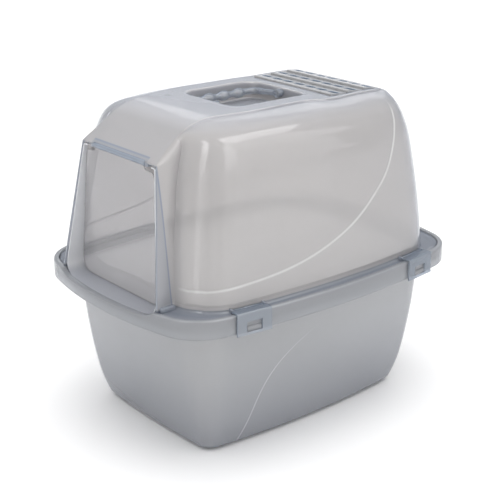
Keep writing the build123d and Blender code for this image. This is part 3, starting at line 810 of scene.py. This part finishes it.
def hood_rings(ys, xs):
    """Right half of the hood below its roof panel: rings of the wall outline, first the
    flange, then the wall, then a cubic from the wall's top to the foot of the small step
    at the panel's edge, then that step. Returns the rings and the number of the flange's
    last one."""
    edge_y = ys[int(np.argmin(np.abs(ys - JOIN_Y))):]
    edge_z, edge_x = roof_edge(edge_y)
    # ---- stations round the wall: up the panel's right edge, then along its rear edge
    q_side = np.interp(edge_y, [JOIN_Y, -158, -146, -114, -2, 112, 132, ROOF_REAR],
                       [0, 0.8, 1.45, 2.05, 3, 4.0, 4.5, 5.0])
    rear_x = xs[:-1][::-1] / xs[-1]
    q = np.concatenate([q_side, 6 - rear_x])
    rear = np.broadcast_to([edge_x[-1], edge_y[-1], edge_z[-1]], (len(rear_x), 3)).copy()
    rear[:, 0] *= rear_x
    brink = np.concatenate([np.stack([edge_x, edge_y, edge_z], -1), rear])

    def ring(z, start_z):
        """Wall outlines at the heights z, each from the valley's place at start_z, and
        their normals."""
        shape, mid = wall_shape(np.asarray(z, float))
        return half_outline(shape, mid, q, valley_x(start_z))

    wall_z = np.concatenate([np.arange(FLANGE_TOP + 4, WALL_TOP - 4, 6.0), [WALL_TOP]])
    p, _ = ring(wall_z, wall_z)
    wall = np.dstack([p, np.broadcast_to(wall_z[:, None], p.shape[:2])])

    # ---- flange below the wall: its edge, its flat and the cove up to the wall
    cove_r, flange_x = 3.4, 98.6
    base, base_n = ring([FLANGE_TOP + 4], np.array([FLANGE_TOP]))
    out, out_n = half_outline(tuple(np.array([v]) for v in RIM), np.array([0.0]), q,
                              np.array([flange_x]))
    cove = [np.dstack([base + base_n * (cove_r - cove_r * math.sin(t)),
                       np.full(base.shape[:2], FLANGE_TOP + cove_r - cove_r * math.cos(t))])
            for t in np.radians(np.linspace(90, 0, 6))[:-1][::-1]]
    edge = [np.dstack([out - out_n * (FLANGE_INSET + inset), np.full(out.shape[:2], z)])
            for inset, z in ((0, FLANGE_BOTTOM), (0, 197), (0, FLANGE_TOP - 1.2),
                             (0.35, FLANGE_TOP - 0.4), (1.2, FLANGE_TOP))]
    flange = np.concatenate(edge + [mix(edge[-1], cove[0], 0.5)] + cove)

    # ---- cubic from the wall to the panel's edge, then the small step
    low = wall[-1]
    lean = low[:, :2] - ring([WALL_TOP - 1.0], np.array([WALL_TOP - 1.0]))[0][0]
    along = np.gradient(brink, axis=0)
    out_h = np.stack([along[:, 1], -along[:, 0]], -1)
    out_h /= np.linalg.norm(out_h, axis=1)[:, None]
    corner = len(q_side) - 1
    out_h[corner] = (0.7071, 0.7071)
    out_h[corner + 1:] = (0, 1)
    fade = np.where(np.arange(len(q)) > corner - 6, 0.45, 1.0)
    fade *= smooth((brink[:, 1] - JOIN_Y) / 26) * 0.85 + 0.15

    def step(d, h):
        """The brink moved out by d and up by h, both times the fade."""
        r = brink.copy()
        r[:, :2] += out_h * (d * fade)[:, None]
        r[:, 2] += h * fade
        return r

    start_pull, end_pull, end_drop = 0.78, 0.65, 0.10
    foot = step(*RISE[0])
    height = (foot[:, 2] - WALL_TOP)[:, None]
    c1 = low + np.concatenate([lean * height * start_pull, height * start_pull], 1)
    reach = (c1 - foot)[:, :2] * end_pull
    c2 = foot.copy()
    c2[:, :2] += reach
    c2[:, 2] -= np.linalg.norm(reach, axis=1) * end_drop
    t = np.linspace(0, 1, BLEND_ROWS + 1)[1:, None, None]
    blend = (1 - t)**3 * low + 3 * (1 - t)**2 * t * c1 + 3 * (1 - t) * t**2 * c2 + t**3 * foot
    rise = [step(d, h)[None] for d, h in RISE[1:]]
    return np.concatenate([flange, wall, blend] + rise), len(flange) - 1


def porch_side(valley, ys):
    """Right side of the porch: straight lines from its front edge to the valley where it
    meets the wall, puffed out a little between them by a sine."""
    rows = len(valley)
    up = rows - FRONT_ROWS
    z = np.interp(np.arange(up), [0, up - 1], [FLANGE_TOP, PORCH_HEAD[2]])
    top_y = ys[1:int(np.argmin(np.abs(ys - JOIN_Y))) + 1]
    tz, tx = roof_edge(top_y)
    edge = np.concatenate([np.stack([*porch_front(z), z], -1), np.stack([tx, top_y, tz], -1)])
    edge = edge[:rows]
    u = np.array([0, 0.02, 0.05, 0.1, 0.2, 0.35, 0.5, 0.65, 0.8, 0.9, 0.96, 1.0])[None, :, None]
    side = mix(edge[:, None, :], valley[:, None, :], u)
    span = np.linalg.norm(valley - edge, axis=1)[:, None]
    puff, puff_from, puff_over, full_span = 1.6, 230, 120, 22
    side[..., 0] += (puff * np.sin(math.pi * u[..., 0])**0.8
                     * smooth((side[..., 2] - puff_from) / puff_over)
                     * np.clip(span / full_span, 0, 1))
    return side


def roof_panel(ys, xs):
    """Roof panel: straight across and a spline along, crowned by half a millimetre. The
    well and the vent seat are drops read from a table of the distance in from their
    edges. Returns its points and which of its quads to keep round the duct."""
    hx, hy, ym, rc, floor_z = WELL
    z_edge, w = roof_edge(ys)
    xi = np.concatenate([-xs[::-1], xs[1:]])
    xg = np.broadcast_to(xi, (len(ys), len(xi))).copy()
    yg = np.broadcast_to(ys[:, None], xg.shape).copy()
    wide, fixed_x = np.abs(xg), 56.0
    tail = fixed_x + (wide - fixed_x) * (w[:, None] - fixed_x) / (xs[-1] - fixed_x)
    xg = np.sign(xg) * np.where(wide > fixed_x, tail, wide)
    zg = z_edge[:, None] + 0.5 * (1 - (xg / w[:, None])**2) * smooth((yg + 175) / 60)
    din = np.minimum(hx - np.abs(xg), hy - np.abs(yg - ym))
    depth = np.interp(din, [-9, -4.0, -2.4, -1.5, -0.8, -0.35, 0.0, 0.25, 0.5, 0.9, 1.7, 3.2,
                            5.5, 9.0, 30],
                      [0, 0, -0.1, -0.35, -0.9, -1.7, -3.2, -9.0, -17.0, -20.2, -21.5, -22.2,
                       -WELL_DEPTH, -WELL_DEPTH, -WELL_DEPTH])
    zg = np.where(din > 0.4, mix(zg, floor_z + WELL_DEPTH, smooth(din / 3)), zg) + depth
    # round the well's corners: rings of equal distance become round near each corner
    ax, ay = np.abs(xg) - (hx - rc), np.abs(yg - ym) - (hy - rc)
    near = (ax > 0) & (ay > 0)
    m = np.maximum(ax, ay)
    fall = np.clip(1 - (m - rc) / 7.0, 0, 1)
    k = np.where(near, mix(1.0, m / np.maximum(np.hypot(ax, ay), 1e-9), fall), 1.0)
    xg = np.where(near, np.sign(xg) * (hx - rc + ax * k), xg)
    yg = np.where(near, ym + np.sign(yg - ym) * (hy - rc + ay * k), yg)
    # vent seat
    sx, sy0, sy1, sz = SEAT
    dseat = np.minimum(sx - np.abs(xg), np.minimum(yg - sy0, sy1 - yg))
    seat = np.interp(dseat, [-1.2, -0.5, 0.0, 0.2, 0.8], [0, -0.3, -1.2, -4.0, -SEAT_DEPTH])
    zg = np.where(dseat > -1.2, mix(zg, sz + SEAT_DEPTH, smooth((dseat + 1.2) / 2)) + seat, zg)
    mid_x, mid_y = np.abs(xi[:-1] + xi[1:]) / 2, (ys[:-1] + ys[1:]) / 2
    duct = (mid_x < DUCT[0])[None, :] & ((mid_y > DUCT[1]) & (mid_y < DUCT[2]))[:, None]
    return np.dstack([xg, yg, zg]), ~duct


def make_hood():
    """Outer skin of the hood, later given its wall thickness. Three patches share their
    edges: the wall with its flange, the porch sides and the roof panel."""
    s = Shell()
    ys, xs = panel_lines()
    right, base_row = hood_rings(ys, xs)
    mirror = np.array([-1.0, 1.0, 1.0])
    s.grid(right)
    s.grid(right[:, ::-1] * mirror)
    side = porch_side(right[base_row:, 0], ys)
    s.grid(side)
    s.grid((side * mirror)[:, ::-1])
    panel, keep = roof_panel(ys, xs)
    s.grid(panel, keep=keep)
    return s.mesh("hood_moulding", weld=0.05)


hood = finish_piece(make_hood(), "hood_shell", ["hood"], HOOD_FINISH)
mark_side(hood, HOOD_MARK, hood_fade)
mark_hood(hood)
solidify(hood, HOOD_WALL, even=False)


# ---------------------------------------------------------------- flap, clips and liner
def turned(profile, at, sides, axis=0):
    """Turned shape about a line through a point along one axis: for each (distance,
    radius) of the profile a circle, its points the centre plus radius times cosine and
    sine in the two other axes."""
    run, radii = np.array(profile, float).T
    a = np.linspace(0, 2 * math.pi, sides, endpoint=False)
    g = np.zeros((len(run), sides, 3)) + np.array(at, float)
    g[..., axis] += run[:, None]
    g[..., (axis + 1) % 3] += radii[:, None] * np.cos(a)
    g[..., (axis + 2) % 3] += radii[:, None] * np.sin(a)
    return g


def both_ways(half):
    """A profile from its middle outwards, together with its mirror image."""
    out = np.array(half, float)
    return np.concatenate([(out * (-1, 1))[:0:-1], out])


def brick(x0, x1, y0, y1, z0, z1, r=0.6):
    """Six-sided block with its four upright edges and top edges rounded: rings of a
    rounded rectangle, drawn in by r near the top and the bottom."""
    cx, cy, hx, hy = (x0 + x1) / 2, (y0 + y1) / 2, (x1 - x0) / 2, (y1 - y0) / 2
    a = np.radians(np.arange(0, 360, 15.0))
    sx, sy = np.sign(np.cos(a + 1e-6)), np.sign(np.sin(a + 1e-6))
    rings = []
    for inset, z in ((r, z0), (0.3 * r, z0 + 0.3 * r), (0, z0 + r), (0, z1 - r),
                     (0.3 * r, z1 - 0.3 * r), (r, z1)):
        rr = max(r - inset, 0.0)
        px = cx + sx * (hx - r) + rr * np.cos(a)
        py = cy + sy * (hy - r) + rr * np.sin(a)
        rings.append(np.stack([px, py, np.full(len(a), z)], -1))
    return np.array(rings)


def closed(shell, grid):
    """Adds a ringed grid and closes both its ends."""
    shell.grid(grid, ring=True)
    shell.cap(grid[0], flip=True)
    shell.cap(grid[-1])


def make_flap():
    """Entrance flap: rings of the pane outline, each the outline less its normal times
    an inset, over a round edge and then straight to the middle; above it the barrel
    and its pins, turned about X."""
    half = rounded([(0, 194.0), (40, 194.0), (92.9, 194.4), (69.2, 355.6), (51.2, 357.0),
                    (51.2, HINGE[1]), (0, HINGE[1])], [6.0, 25.0, 3.5, 2.0, 2.0], steps=8)
    half = even_steps(half, 90)
    ring = np.concatenate([half, (half * (-1, 1))[-2:0:-1]])
    t = np.roll(ring, -1, 0) - np.roll(ring, 1, 0)
    t /= np.linalg.norm(t, axis=1)[:, None]
    n = np.stack([t[:, 1], -t[:, 0]], -1)
    middle, edge_r = np.array([0.0, 272.0]), 1.6
    flat = ring - n * edge_r

    def upright(p, y):
        """Flat (x, z) points stood up at a distance y from the barrel's plane."""
        return np.stack([p[:, 0], np.full(len(p), HINGE[0] + y), p[:, 1]], -1)

    faces = []
    for sign in (-1, 1):
        rows = [upright(middle + (flat - middle) * k, sign) for k in (0.04, 0.35, 0.7)]
        rows += [upright(ring - n * inset, sign * y) for inset, y in
                 ((edge_r, 1.0), (1.0, 1.0), (0.45, 0.86), (0.12, 0.5), (0.0, 0.0))]
        faces += rows if sign < 0 else rows[::-1][1:]
    s = Shell()
    closed(s, np.array(faces))
    barrel = both_ways([(0, 3.3), (20, 3.3), (40, 3.3), (52.6, 3.3), (53.2, 2.8), (53.2, 1.6),
                        (53.4, 1.55), (56.7, 1.55), (57.0, 1.2), (57.0, 0.1)])
    closed(s, turned(barrel, (0, *HINGE), 28))
    return s.mesh("door_flap_pane", orient=True)


flap = finish_piece(make_flap(), "flap", ["door_flap"], FLAP_FINISH)
refinish(flap, BARREL_FINISH, face_table(flap)[0][:, 2] > HINGE[1] - 4.5)


def rim_place(side, end):
    """Middle, outward direction and along direction of a latch on the rim."""
    w, a, l, b, _ = RIM
    cy = l - b
    side_r = (cy**2 + a**2) / (2 * a)
    turn = math.asin(LATCH_Y / side_r) * end * side + (math.pi if side < 0 else 0)
    x = side * (w - side_r + math.sqrt(side_r**2 - LATCH_Y**2))
    out = np.array([math.cos(turn), math.sin(turn)])
    return np.array([x, end * LATCH_Y]), out, np.array([-out[1], out[0]])


def at_rim(grid, place):
    """Moves local (outward, along, height) points to a latch place."""
    mid, out, along = place
    g = np.asarray(grid, float)
    xy = mid + g[..., :1] * out + g[..., 1:2] * along
    return np.concatenate([xy, g[..., 2:]], -1)


def make_latch(name, place):
    """Clip: a strip bent over the rim, its path swept along the rim, with a window cut
    in its leg and a small thumb lip at its foot."""
    face, top, half = 2.85, 204.6, 23.6
    gap_half, gap_low, gap_high = 10.6, 180.2, 192.8
    path = rounded([(-10.6, top), (face, top), (face, 180.0), (3.9, 177.2)], [2.4, 2.0], steps=6)
    leg_top, leg_foot = 199.0, 179.4
    leg_z = (leg_top, 196.0, gap_high, 192.0, 188, 184, 181.0, gap_low)
    leg = np.array([p for p in path if p[1] > leg_top] + [(face, z) for z in leg_z]
                   + [p for p in path if p[1] < leg_foot])
    v = np.array([-half, -22.8, -18, -14, -11.4, -gap_half, -5, 0, 5, gap_half, 11.4, 14, 18,
                  22.8, half])
    u, vv = np.meshgrid(leg[:, 0], v, indexing="ij")
    w = np.broadcast_to(leg[:, 1:], u.shape)
    w = np.where((np.abs(vv) > half - 0.1) & (w < 177.5), w + 0.8, w)
    mid_z, mid_v = (leg[:-1, 1] + leg[1:, 1]) / 2, (v[:-1] + v[1:]) / 2
    gap = ((mid_z < gap_high) & (mid_z > gap_low))[:, None] & (np.abs(mid_v) < gap_half)[None, :]
    s = Shell()
    s.grid(at_rim(np.stack([u, vv, w], -1), place), keep=~gap, flip=True)
    obj = s.mesh(name + "_strip")
    solidify(obj, 2.15)
    soften(obj, 0.45)
    return obj


def make_latch_roll(name, place):
    """Rolled edge and pin of a clip, turned about the rim line."""
    roll = both_ways([(0, 1.8), (19.6, 1.8), (20.0, 1.5), (20.0, 1.2), (20.2, 1.2), (23.0, 1.2),
                      (23.2, 1.0), (23.2, 0.1)])
    s = Shell()
    closed(s, at_rim(turned(roll, (LATCH_AXIS[0], 0, LATCH_AXIS[1]), 16, axis=1), place))
    return s.mesh(name + "_roll", orient=True)


for clip, where in CLIPS.items():
    for make in (make_latch, make_latch_roll):
        finish_piece(make("latch_" + clip, rim_place(*where)), "clip_" + clip,
                     ["latch_" + clip], LATCH_FINISH)


def make_lugs():
    """Wedge lugs that the clips' windows catch on: a profile of (outward, height) points
    carried along the rim, shrunk about its middle at both ends."""
    s = Shell()
    v = np.array([-9.8, -9.4, -5, 0, 5, 9.4, 9.8])
    prof = np.array([(-1.3, 180.9), (1.7, 180.9), (2.1, 181.3), (2.1, 184.0), (1.0, 186.1),
                     (0.6, 186.4), (-1.3, 186.4)])
    mid = np.array([0.2, 183.6])
    scale = np.where(np.abs(v) > 9.5, 0.75, 1.0)[:, None, None]
    flat = mid + (prof - mid) * scale
    g = np.stack([flat[..., 0], np.broadcast_to(v[:, None], flat.shape[:2]), flat[..., 1]], -1)
    for where in CLIPS.values():
        closed(s, at_rim(g, rim_place(*where)))
    return s.mesh("pan_latch_lugs", orient=True)


finish_piece(make_lugs(), "pan", ["litter_pan"], PAN_FINISH)


def make_ears():
    """Ears on the hood flange that hold the latch pins, the two beside the flap barrel
    and the pads under the feet of the porch sides."""
    s = Shell()
    au, az = LATCH_AXIS
    y, z = HINGE
    for where in CLIPS.values():
        for sign in (-1, 1):
            v0, v1 = sorted((sign * 20.6, sign * 23.4))
            ear = brick(au - 4.2, au + 2.5, v0, v1, FLANGE_TOP - 1.0, az + 2.5, 0.7)
            closed(s, at_rim(ear, rim_place(*where)))
    for sign in (-1, 1):
        x0, x1 = sorted((sign * 54.2, sign * 59.0))
        closed(s, brick(x0, x1, y - 1.6, y + 4.0, z - 3.4, z + 2.0))
        x0, x1 = sorted((sign * 96.6, sign * 104.4))
        closed(s, brick(x0, x1, -221.0, -200.5, FLANGE_TOP - 0.5, FLANGE_TOP + 6.0, 1.8))
    return s.mesh("hood_ears", orient=True)


finish_piece(make_ears(), "hood_shell", ["hood"], HOOD_FINISH)


def make_porch_frame():
    """Liner of the entrance: the tunnel outline (straight jambs, round feet, flat sill)
    swept back from the porch front, where the sill's front follows the rim's arc, to
    just behind the flap."""
    half = rounded([(66.0, 361.6), (72.6, 361.6), (97.0, 193.2), (0, 193.2)], [2.0, 22.0],
                   steps=9)
    half = even_steps(half, 120)
    line = np.concatenate([half, (half * (-1, 1))[-2::-1]])
    x, z = line.T
    w, a, l, b, _ = RIM
    end_r = ((w - a)**2 + b**2) / (2 * b)
    arc = -(l - end_r + np.sqrt((end_r - FLANGE_INSET)**2 - x**2))
    lean, foot_z, back_y, set_back = 0.1245, 191.0, -198.2, 0.4
    plane = PORCH_FOOT[1] + (z - foot_z) * lean
    front = mix(np.minimum(arc, plane), plane, smooth((z - 194.0) / 12)) + set_back
    u = np.array([0, 0.03, 0.08, 0.3, 0.6, 0.9, 1.0])
    y = front[:, None] + (back_y - front)[:, None] * u
    g = np.stack([np.broadcast_to(x[:, None], y.shape), y,
                  np.broadcast_to(z[:, None], y.shape)], -1)
    s = Shell()
    s.grid(g)
    obj = s.mesh("hood_porch_frame")
    solidify(obj, 1.3)
    soften(obj, 0.4)
    return obj


finish_piece(make_porch_frame(), "hood_shell", ["hood"], FRAME_FINISH)


# ---------------------------------------------------------------- carry handle
def make_handle():
    """Carry handle: a round bar along a U-shaped path with rounded bends, its radius
    swelling at three finger bumps, plus a boss and a pin at each end."""
    px, pz, gx, gz = 6.0, 402.4, -42.0, 398.4       # pins' x and z, grip's x and z
    y0, y1, reach, bend_r = -62.5, 39.5, 48.2, 11.0
    bar_r, arm_r, bump_r, bump_half = 4.1, 3.7, 2.3, 6.2
    flat = rounded([(0, y0), (reach, y0), (reach, y1), (0, y1)], [bend_r, bend_r], steps=9)
    flat = even_steps(flat, 120)
    d, y = flat[:, 0], flat[:, 1]
    slope = (gz - pz) / (gx - px)
    down = np.array([-1.0, 0, -slope]) / math.hypot(1, slope)
    path = np.array([px, 0, pz]) + d[:, None] * down + y[:, None] * np.array([0, 1.0, 0])
    t = np.gradient(path, axis=0)
    t /= np.linalg.norm(t, axis=1)[:, None]
    up = np.cross(down, (0, 1.0, 0))
    side = np.cross(t, up)
    r = np.full(len(flat), bar_r)
    for c in (-35.5, -11.5, 12.5):
        r += bump_r * np.exp(-((y - c) / bump_half)**4) * (d > 44)
    r = np.where(d < 30, arm_r, r)[:, None, None]
    a = np.linspace(0, 2 * math.pi, 20, endpoint=False)
    ring = side[:, None, :] * np.cos(a)[:, None] * r + up[None, None, :] * np.sin(a)[:, None] * r
    s = Shell()
    closed(s, path[:, None, :] + ring)
    boss = [(4.4, 0.1), (4.4, 4.6), (4.0, 5.2), (-3.6, 5.2), (-3.9, 4.8), (-3.9, 2.4), (-9.2, 2.4),
            (-9.6, 2.0), (-9.6, 0.1)]
    for y, out in ((y0, -1), (y1, 1)):
        closed(s, turned(np.array(boss) * (-out, 1), (px, y, pz), 24, axis=1))
    return s.mesh("carry_bail", orient=True)


finish_piece(make_handle(), "handle", ["carry_handle"], TRIM_FINISH)


# ---------------------------------------------------------------- vent cover
def round_angles():
    """Cosines and sines of 28 even angles round a full turn."""
    a = np.linspace(0, 2 * math.pi, 28, endpoint=False)
    return np.cos(a), np.sin(a)


def slot_ring(cx, cy, hx, hy):
    """Stadium outline: a straight-sided slot with half-round ends, stations at even
    angles about its middle."""
    c, s = round_angles()
    k = hx - hy
    return np.stack([cx + np.sign(c) * k * np.minimum(1, np.abs(c) * 1.6) + hy * c,
                     cy + hy * s], -1)


def box_ring(x0, x1, y0, y1, cx, cy):
    """Rectangle outline met by rays at even angles from a point inside it."""
    c, s = round_angles()
    tx = np.where(c > 0, x1 - cx, cx - x0) / np.maximum(np.abs(c), 1e-9)
    ty = np.where(s > 0, y1 - cy, cy - y0) / np.maximum(np.abs(s), 1e-9)
    t = np.minimum(tx, ty)
    return np.stack([cx + t * c, cy + t * s], -1)


def make_vent():
    """Louvred vent cover: three sloping strips, each a row of seven cells. A cell is a
    grid from its edges in to a slot outline, rounded over and down to the underside;
    height is the strip's slope at that y. Risers, ends and underside close it."""
    slot_x, slot_y, round_r, nose = 8.0, 3.8, 0.7, 0.8
    s = Shell()

    def stood(xy, z):
        """Flat points at a height, or at a height each."""
        return np.column_stack([xy, np.broadcast_to(z, len(xy))])

    for y0, y1, yc in zip(VENT_EDGES, VENT_EDGES[1:], VENT_ROWS):
        def top(y):
            """Height of the strip at y."""
            return VENT_TOP - LOUVRE_FALL * (np.asarray(y) - y0 - nose) / (y1 - y0 - nose)

        xs = np.linspace(-VENT_HALF, VENT_HALF, 8)
        xs[1:-1] = (np.arange(6) - 2.5) * VENT_PITCH
        for i in range(7):
            cx = (i - 3) * VENT_PITCH
            outer = box_ring(xs[i], xs[i + 1], y0 + 0.9, y1, cx, yc)
            slot = slot_ring(cx, yc, slot_x, slot_y)
            grow = slot_ring(cx, yc, slot_x + round_r, slot_y + round_r)
            levels = [(outer, 0.0), (mix(outer, grow, 0.6), 0.0), (grow, 0.0),
                      (mix(grow, slot, 0.55), -0.16), (slot, -0.75)]
            g = [stood(xy, top(xy[:, 1]) + drop) for xy, drop in levels]
            s.grid(np.array(g + [stood(slot, VENT_LOW)]), ring=True)
            s.grid(np.array([stood(slot, VENT_LOW), stood(outer, VENT_LOW)]), ring=True)
        x = np.linspace(-VENT_HALF, VENT_HALF, 30)
        lip = [(y0, VENT_LOW), (y0, 407.6), (y0 + 0.15, 408.5), (y0 + 0.5, 409.05),
               (y0 + 0.9, VENT_TOP)]
        back = [(y1, float(top(y1))), (y1, VENT_LOW)]
        for edge in (lip, back):
            s.grid(np.array([[(q, y, z) for q in x] for y, z in edge]))
        for sign in (-1, 1):
            s.cap(np.array([(sign * VENT_HALF, y, z) for y, z in lip + back]), flip=sign < 0)
    return s.mesh("vent_louvres", weld=0.03, orient=True)


def shade_vent(obj):
    """Gives the walls of the slots and the risers between the louvres their own darker
    finishes, painted shade, picked by each face's middle and by the way it faces."""
    (x, y, z), (_, ny, nz) = (v.T for v in face_table(obj))
    dx = np.abs(np.mod(x + VENT_PITCH / 2, VENT_PITCH) - VENT_PITCH / 2)
    dy = np.min([np.abs(y - c) for c in VENT_ROWS], axis=0)
    slot = (dx < 8.6) & (dy < 4.45) & ((np.abs(nz) < 0.97) | (z < VENT_LOW + 1.1))
    refinish(obj, SLOT_PAINTED_SHADE, slot)
    refinish(obj, RISER_PAINTED_SHADE, (ny < -0.7) & ~slot)


vent = finish_piece(make_vent(), "vent", ["vent_cover"], VENT_FINISH)
shade_vent(vent)


def make_filter():
    """Filter pad: rounded block with a crowned top, its height a soft dome plus a fine
    felt roughness."""
    half_x, half_y, mid_y, low, high, dome_r = 65.6, 32.1, 106.5, 395.6, 399.6, 2.2
    x = np.linspace(-1, 1, 40)
    gx, gy = np.meshgrid(x * half_x, mid_y + x * half_y, indexing="ij")
    edge = np.minimum(half_x - np.abs(gx), half_y - np.abs(gy - mid_y))
    wave = 0.16 * np.sin(gx * 0.9 + 1.7 * np.sin(gy * 0.6)) * np.sin(gy * 0.8 + np.sin(gx * 0.4))
    wave *= edge > 1
    dome = dome_r * (1 - np.exp(-edge / dome_r))
    s = Shell()
    s.grid(np.dstack([gx, gy, high + dome + wave]))
    s.grid(np.dstack([gx, gy, low - dome * 0.9 + wave]), flip=True)
    flat = np.stack([gx, gy], -1)
    border = np.concatenate([flat[:, 0], flat[-1, 1:], flat[-2::-1, -1], flat[0, -2:0:-1]])
    s.grid(np.array([np.column_stack([border, np.full(len(border), z)]) for z in (low, high)]),
           ring=True)
    return s.mesh("filter_felt", weld=0.01, orient=True)


finish_piece(make_filter(), "filter", ["air_filter"], FELT_FINISH)


# ---------------------------------------------------------------- stage
def add_object(name, data):
    """Puts a new object of some data into the scene."""
    obj = bpy.data.objects.new(name, data)
    bpy.context.collection.objects.link(obj)
    return obj


def make_floor():
    """Pale seamless floor, so wide that its far edge is never in view."""
    data = bpy.data.meshes.new("floor")
    r = 40.0
    data.from_pydata([(-r, -r, 0), (r, -r, 0), (r, r, 0), (-r, r, 0)], [], [(0, 1, 2, 3)])
    m = bpy.data.materials.new("floor_paper")
    m.use_nodes = True
    b = m.node_tree.nodes["Principled BSDF"]
    b.inputs["Base Color"].default_value = (0.97, 0.97, 0.97, 1)
    b.inputs["Roughness"].default_value = 0.9
    b.inputs["Specular IOR Level"].default_value = 0.1
    data.materials.append(m)
    add_object("floor", data)


make_floor()


def placed(side, up, back, at):
    """World matrix of a light or camera from its three axes and its place."""
    return Matrix([[*map(float, row), float(p)] for row, p in
                   zip(zip(side, up, back), at)] + [[0.0, 0.0, 0.0, 1.0]])


def light(name, at, aim, size, power):
    """Soft rectangular studio light at a point, aimed at another, both in metres."""
    data = bpy.data.lights.new(name, "AREA")
    data.shape = "RECTANGLE"
    data.size, data.size_y = size
    data.energy = power
    a, b = np.array(at, float), np.array(aim, float)
    back = (a - b) / np.linalg.norm(a - b)
    side = np.cross((0, 0, 1.0), back)
    side /= np.linalg.norm(side)
    obj = add_object(name, data)
    obj.matrix_world = placed(side, np.cross(back, side), back, a)
    return obj


def overhead_glow(strength):
    """Very soft, even light from straight above, so that the table stays white."""
    data = bpy.data.lights.new("overhead_glow", "SUN")
    data.energy = strength
    data.angle = math.radians(80)
    return add_object("overhead_glow", data)


def sheen(name, at, aim, size, glow):
    """A lamp that shows only in reflections, as bright as glow all over its face: its
    power is glow times pi times its area."""
    lamp = light(name, at, aim, size, glow * math.pi * size[0] * size[1])
    lamp.visible_diffuse = False
    lamp.visible_transmission = False


def make_studio():
    """White for the camera; for everything else a white table below the horizon, a
    dimmer room above it and a brighter ceiling, by the height of the ray's direction."""
    table, room, ceiling = 1.0, 0.60, 0.70
    world = bpy.data.worlds.new("studio")
    bpy.context.scene.world = world
    world.use_nodes = True
    t = world.node_tree
    split = add_node(t, "SeparateXYZ", Vector=add_node(t, "TexCoord").outputs["Generated"])
    half = maths(t, "MULTIPLY_ADD", split.outputs["Z"], 0.5, 0.5)
    ramp = add_node(t, "ValToRGB", Fac=half)
    stops = ramp.color_ramp.elements
    stops[0].position, stops[0].color = 0.0, (1, 1, 1, 1)
    stops[1].position, stops[1].color = 1.0, (ceiling, ceiling, 0.71, 1)
    for at, v in ((0.50, table), (0.54, room), (0.70, room), (0.85, ceiling)):
        stops.new(at).color = (v, v, v * 1.01, 1)
    pick = t.nodes.new("ShaderNodeMix")
    pick.data_type = "RGBA"
    feed(t, pick, "Factor", add_node(t, "LightPath").outputs["Is Camera Ray"])
    feed(t, pick, "A", ramp.outputs["Color"])
    feed(t, pick, "B", (1, 1, 1, 1))
    feed(t, t.nodes["Background"], "Color", pick.outputs["Result"])
    feed(t, t.nodes["Background"], "Strength", 1.0)
    lay_out(t)


make_studio()
for soft in (light("ceiling_box", (0.1, 0.4, 2.2), (0, 0, 0.2), (2.2, 2.2), 6),
             overhead_glow(1.80),
             light("side_card", (1.55, 0.39, 0.305), (0, 0, 0.305), (1.9, 0.59), 2.4),
             light("corner_strip", (0.66, -1.55, 0.62), (0, 0, 0.3), (0.22, 1.0), 1.8)):
    soft.visible_glossy = False

# the big side window, cut into panes that brighten upwards and to the front; each is its
# name, plane x, y from and to, z from and to, and glow
for name, x, y0, y1, z0, z1, glow in (
        ("pane_low", 1.548, -0.56, 1.28, 0.00, 0.34, 0.33),
        ("pane_mid", 1.548, -0.56, 1.28, 0.34, 0.62, 0.50),
        ("pane_high", 1.548, -0.56, 1.50, 0.62, 1.30, 1.0),
        ("pane_top", 1.548, -0.56, 2.00, 1.30, 3.00, 1.5),
        ("pane_front", 1.538, -0.56, 0.30, 0.90, 3.00, 1.3)):
    at = (x, (y0 + y1) / 2, (z0 + z1) / 2)
    sheen(name, at, (0, at[1], at[2]), (y1 - y0, z1 - z0), glow)
# panes over the shoulder of the hood, seen along the top of its side
for name, at, size, glow in (("pane_over", (0.90, 0.53, 3.0), (1.3, 1.44), 4.0),
                             ("pane_over_rear", (0.90, 1.70, 3.0), (1.3, 0.9), 3.0)):
    sheen(name, at, (at[0], at[1] - 0.001, 0), size, glow)
sheen("shoulder_card", (-2.8, 2.8, 2.3), (0.12, 0, 0.39), (2.6, 0.85), 0.6)
# the tall strip window that shows in the front corner of the hood: name, x from and to,
# z from and to, and glow, all at one y
STRIP_Y = -1.55
for name, x0, x1, z0, z1, glow in (
        ("strip_low", 0.27, 0.57, 0.00, 0.90, 1.4), ("strip_mid", 0.24, 0.58, 0.90, 1.45, 3.0),
        ("strip_high", 0.20, 0.58, 1.45, 2.40, 5.0), ("strip_top", -0.15, 0.48, 2.40, 3.30, 5.0)):
    at = ((x0 + x1) / 2, STRIP_Y, (z0 + z1) / 2)
    sheen(name, at, (at[0], 0, at[2]), (x1 - x0, z1 - z0), glow)


def make_camera():
    """Long lens, level, from the front right and a little above."""
    az, el = math.radians(50.03), math.radians(20.13)
    right_mm, up_mm, back_mm = -1.87, 185.22, 1623.14
    film_mm, lens_pixels, frame_pixels = 36.0, 1180.75, 500
    back = np.array([math.sin(az) * math.cos(el), -math.cos(az) * math.cos(el), math.sin(el)])
    side = np.array([math.cos(az), math.sin(az), 0.0])
    up = np.cross(back, side)
    data = bpy.data.cameras.new("camera")
    data.sensor_width = film_mm
    data.lens = film_mm * lens_pixels / frame_pixels
    data.clip_start, data.clip_end = 0.05, 200
    obj = add_object("camera", data)
    obj.matrix_world = placed(side, up, back,
                              (side * right_mm + up * up_mm + back * back_mm) / 1000)
    bpy.context.scene.camera = obj


make_camera()
scene = bpy.context.scene
scene.view_settings.view_transform = "Standard"
scene.cycles.max_bounces = 24
scene.cycles.transmission_bounces = 20
scene.cycles.transparent_max_bounces = 24
scene.cycles.diffuse_bounces = 4
scene.cycles.glossy_bounces = 6
scene.cycles.use_denoising = True
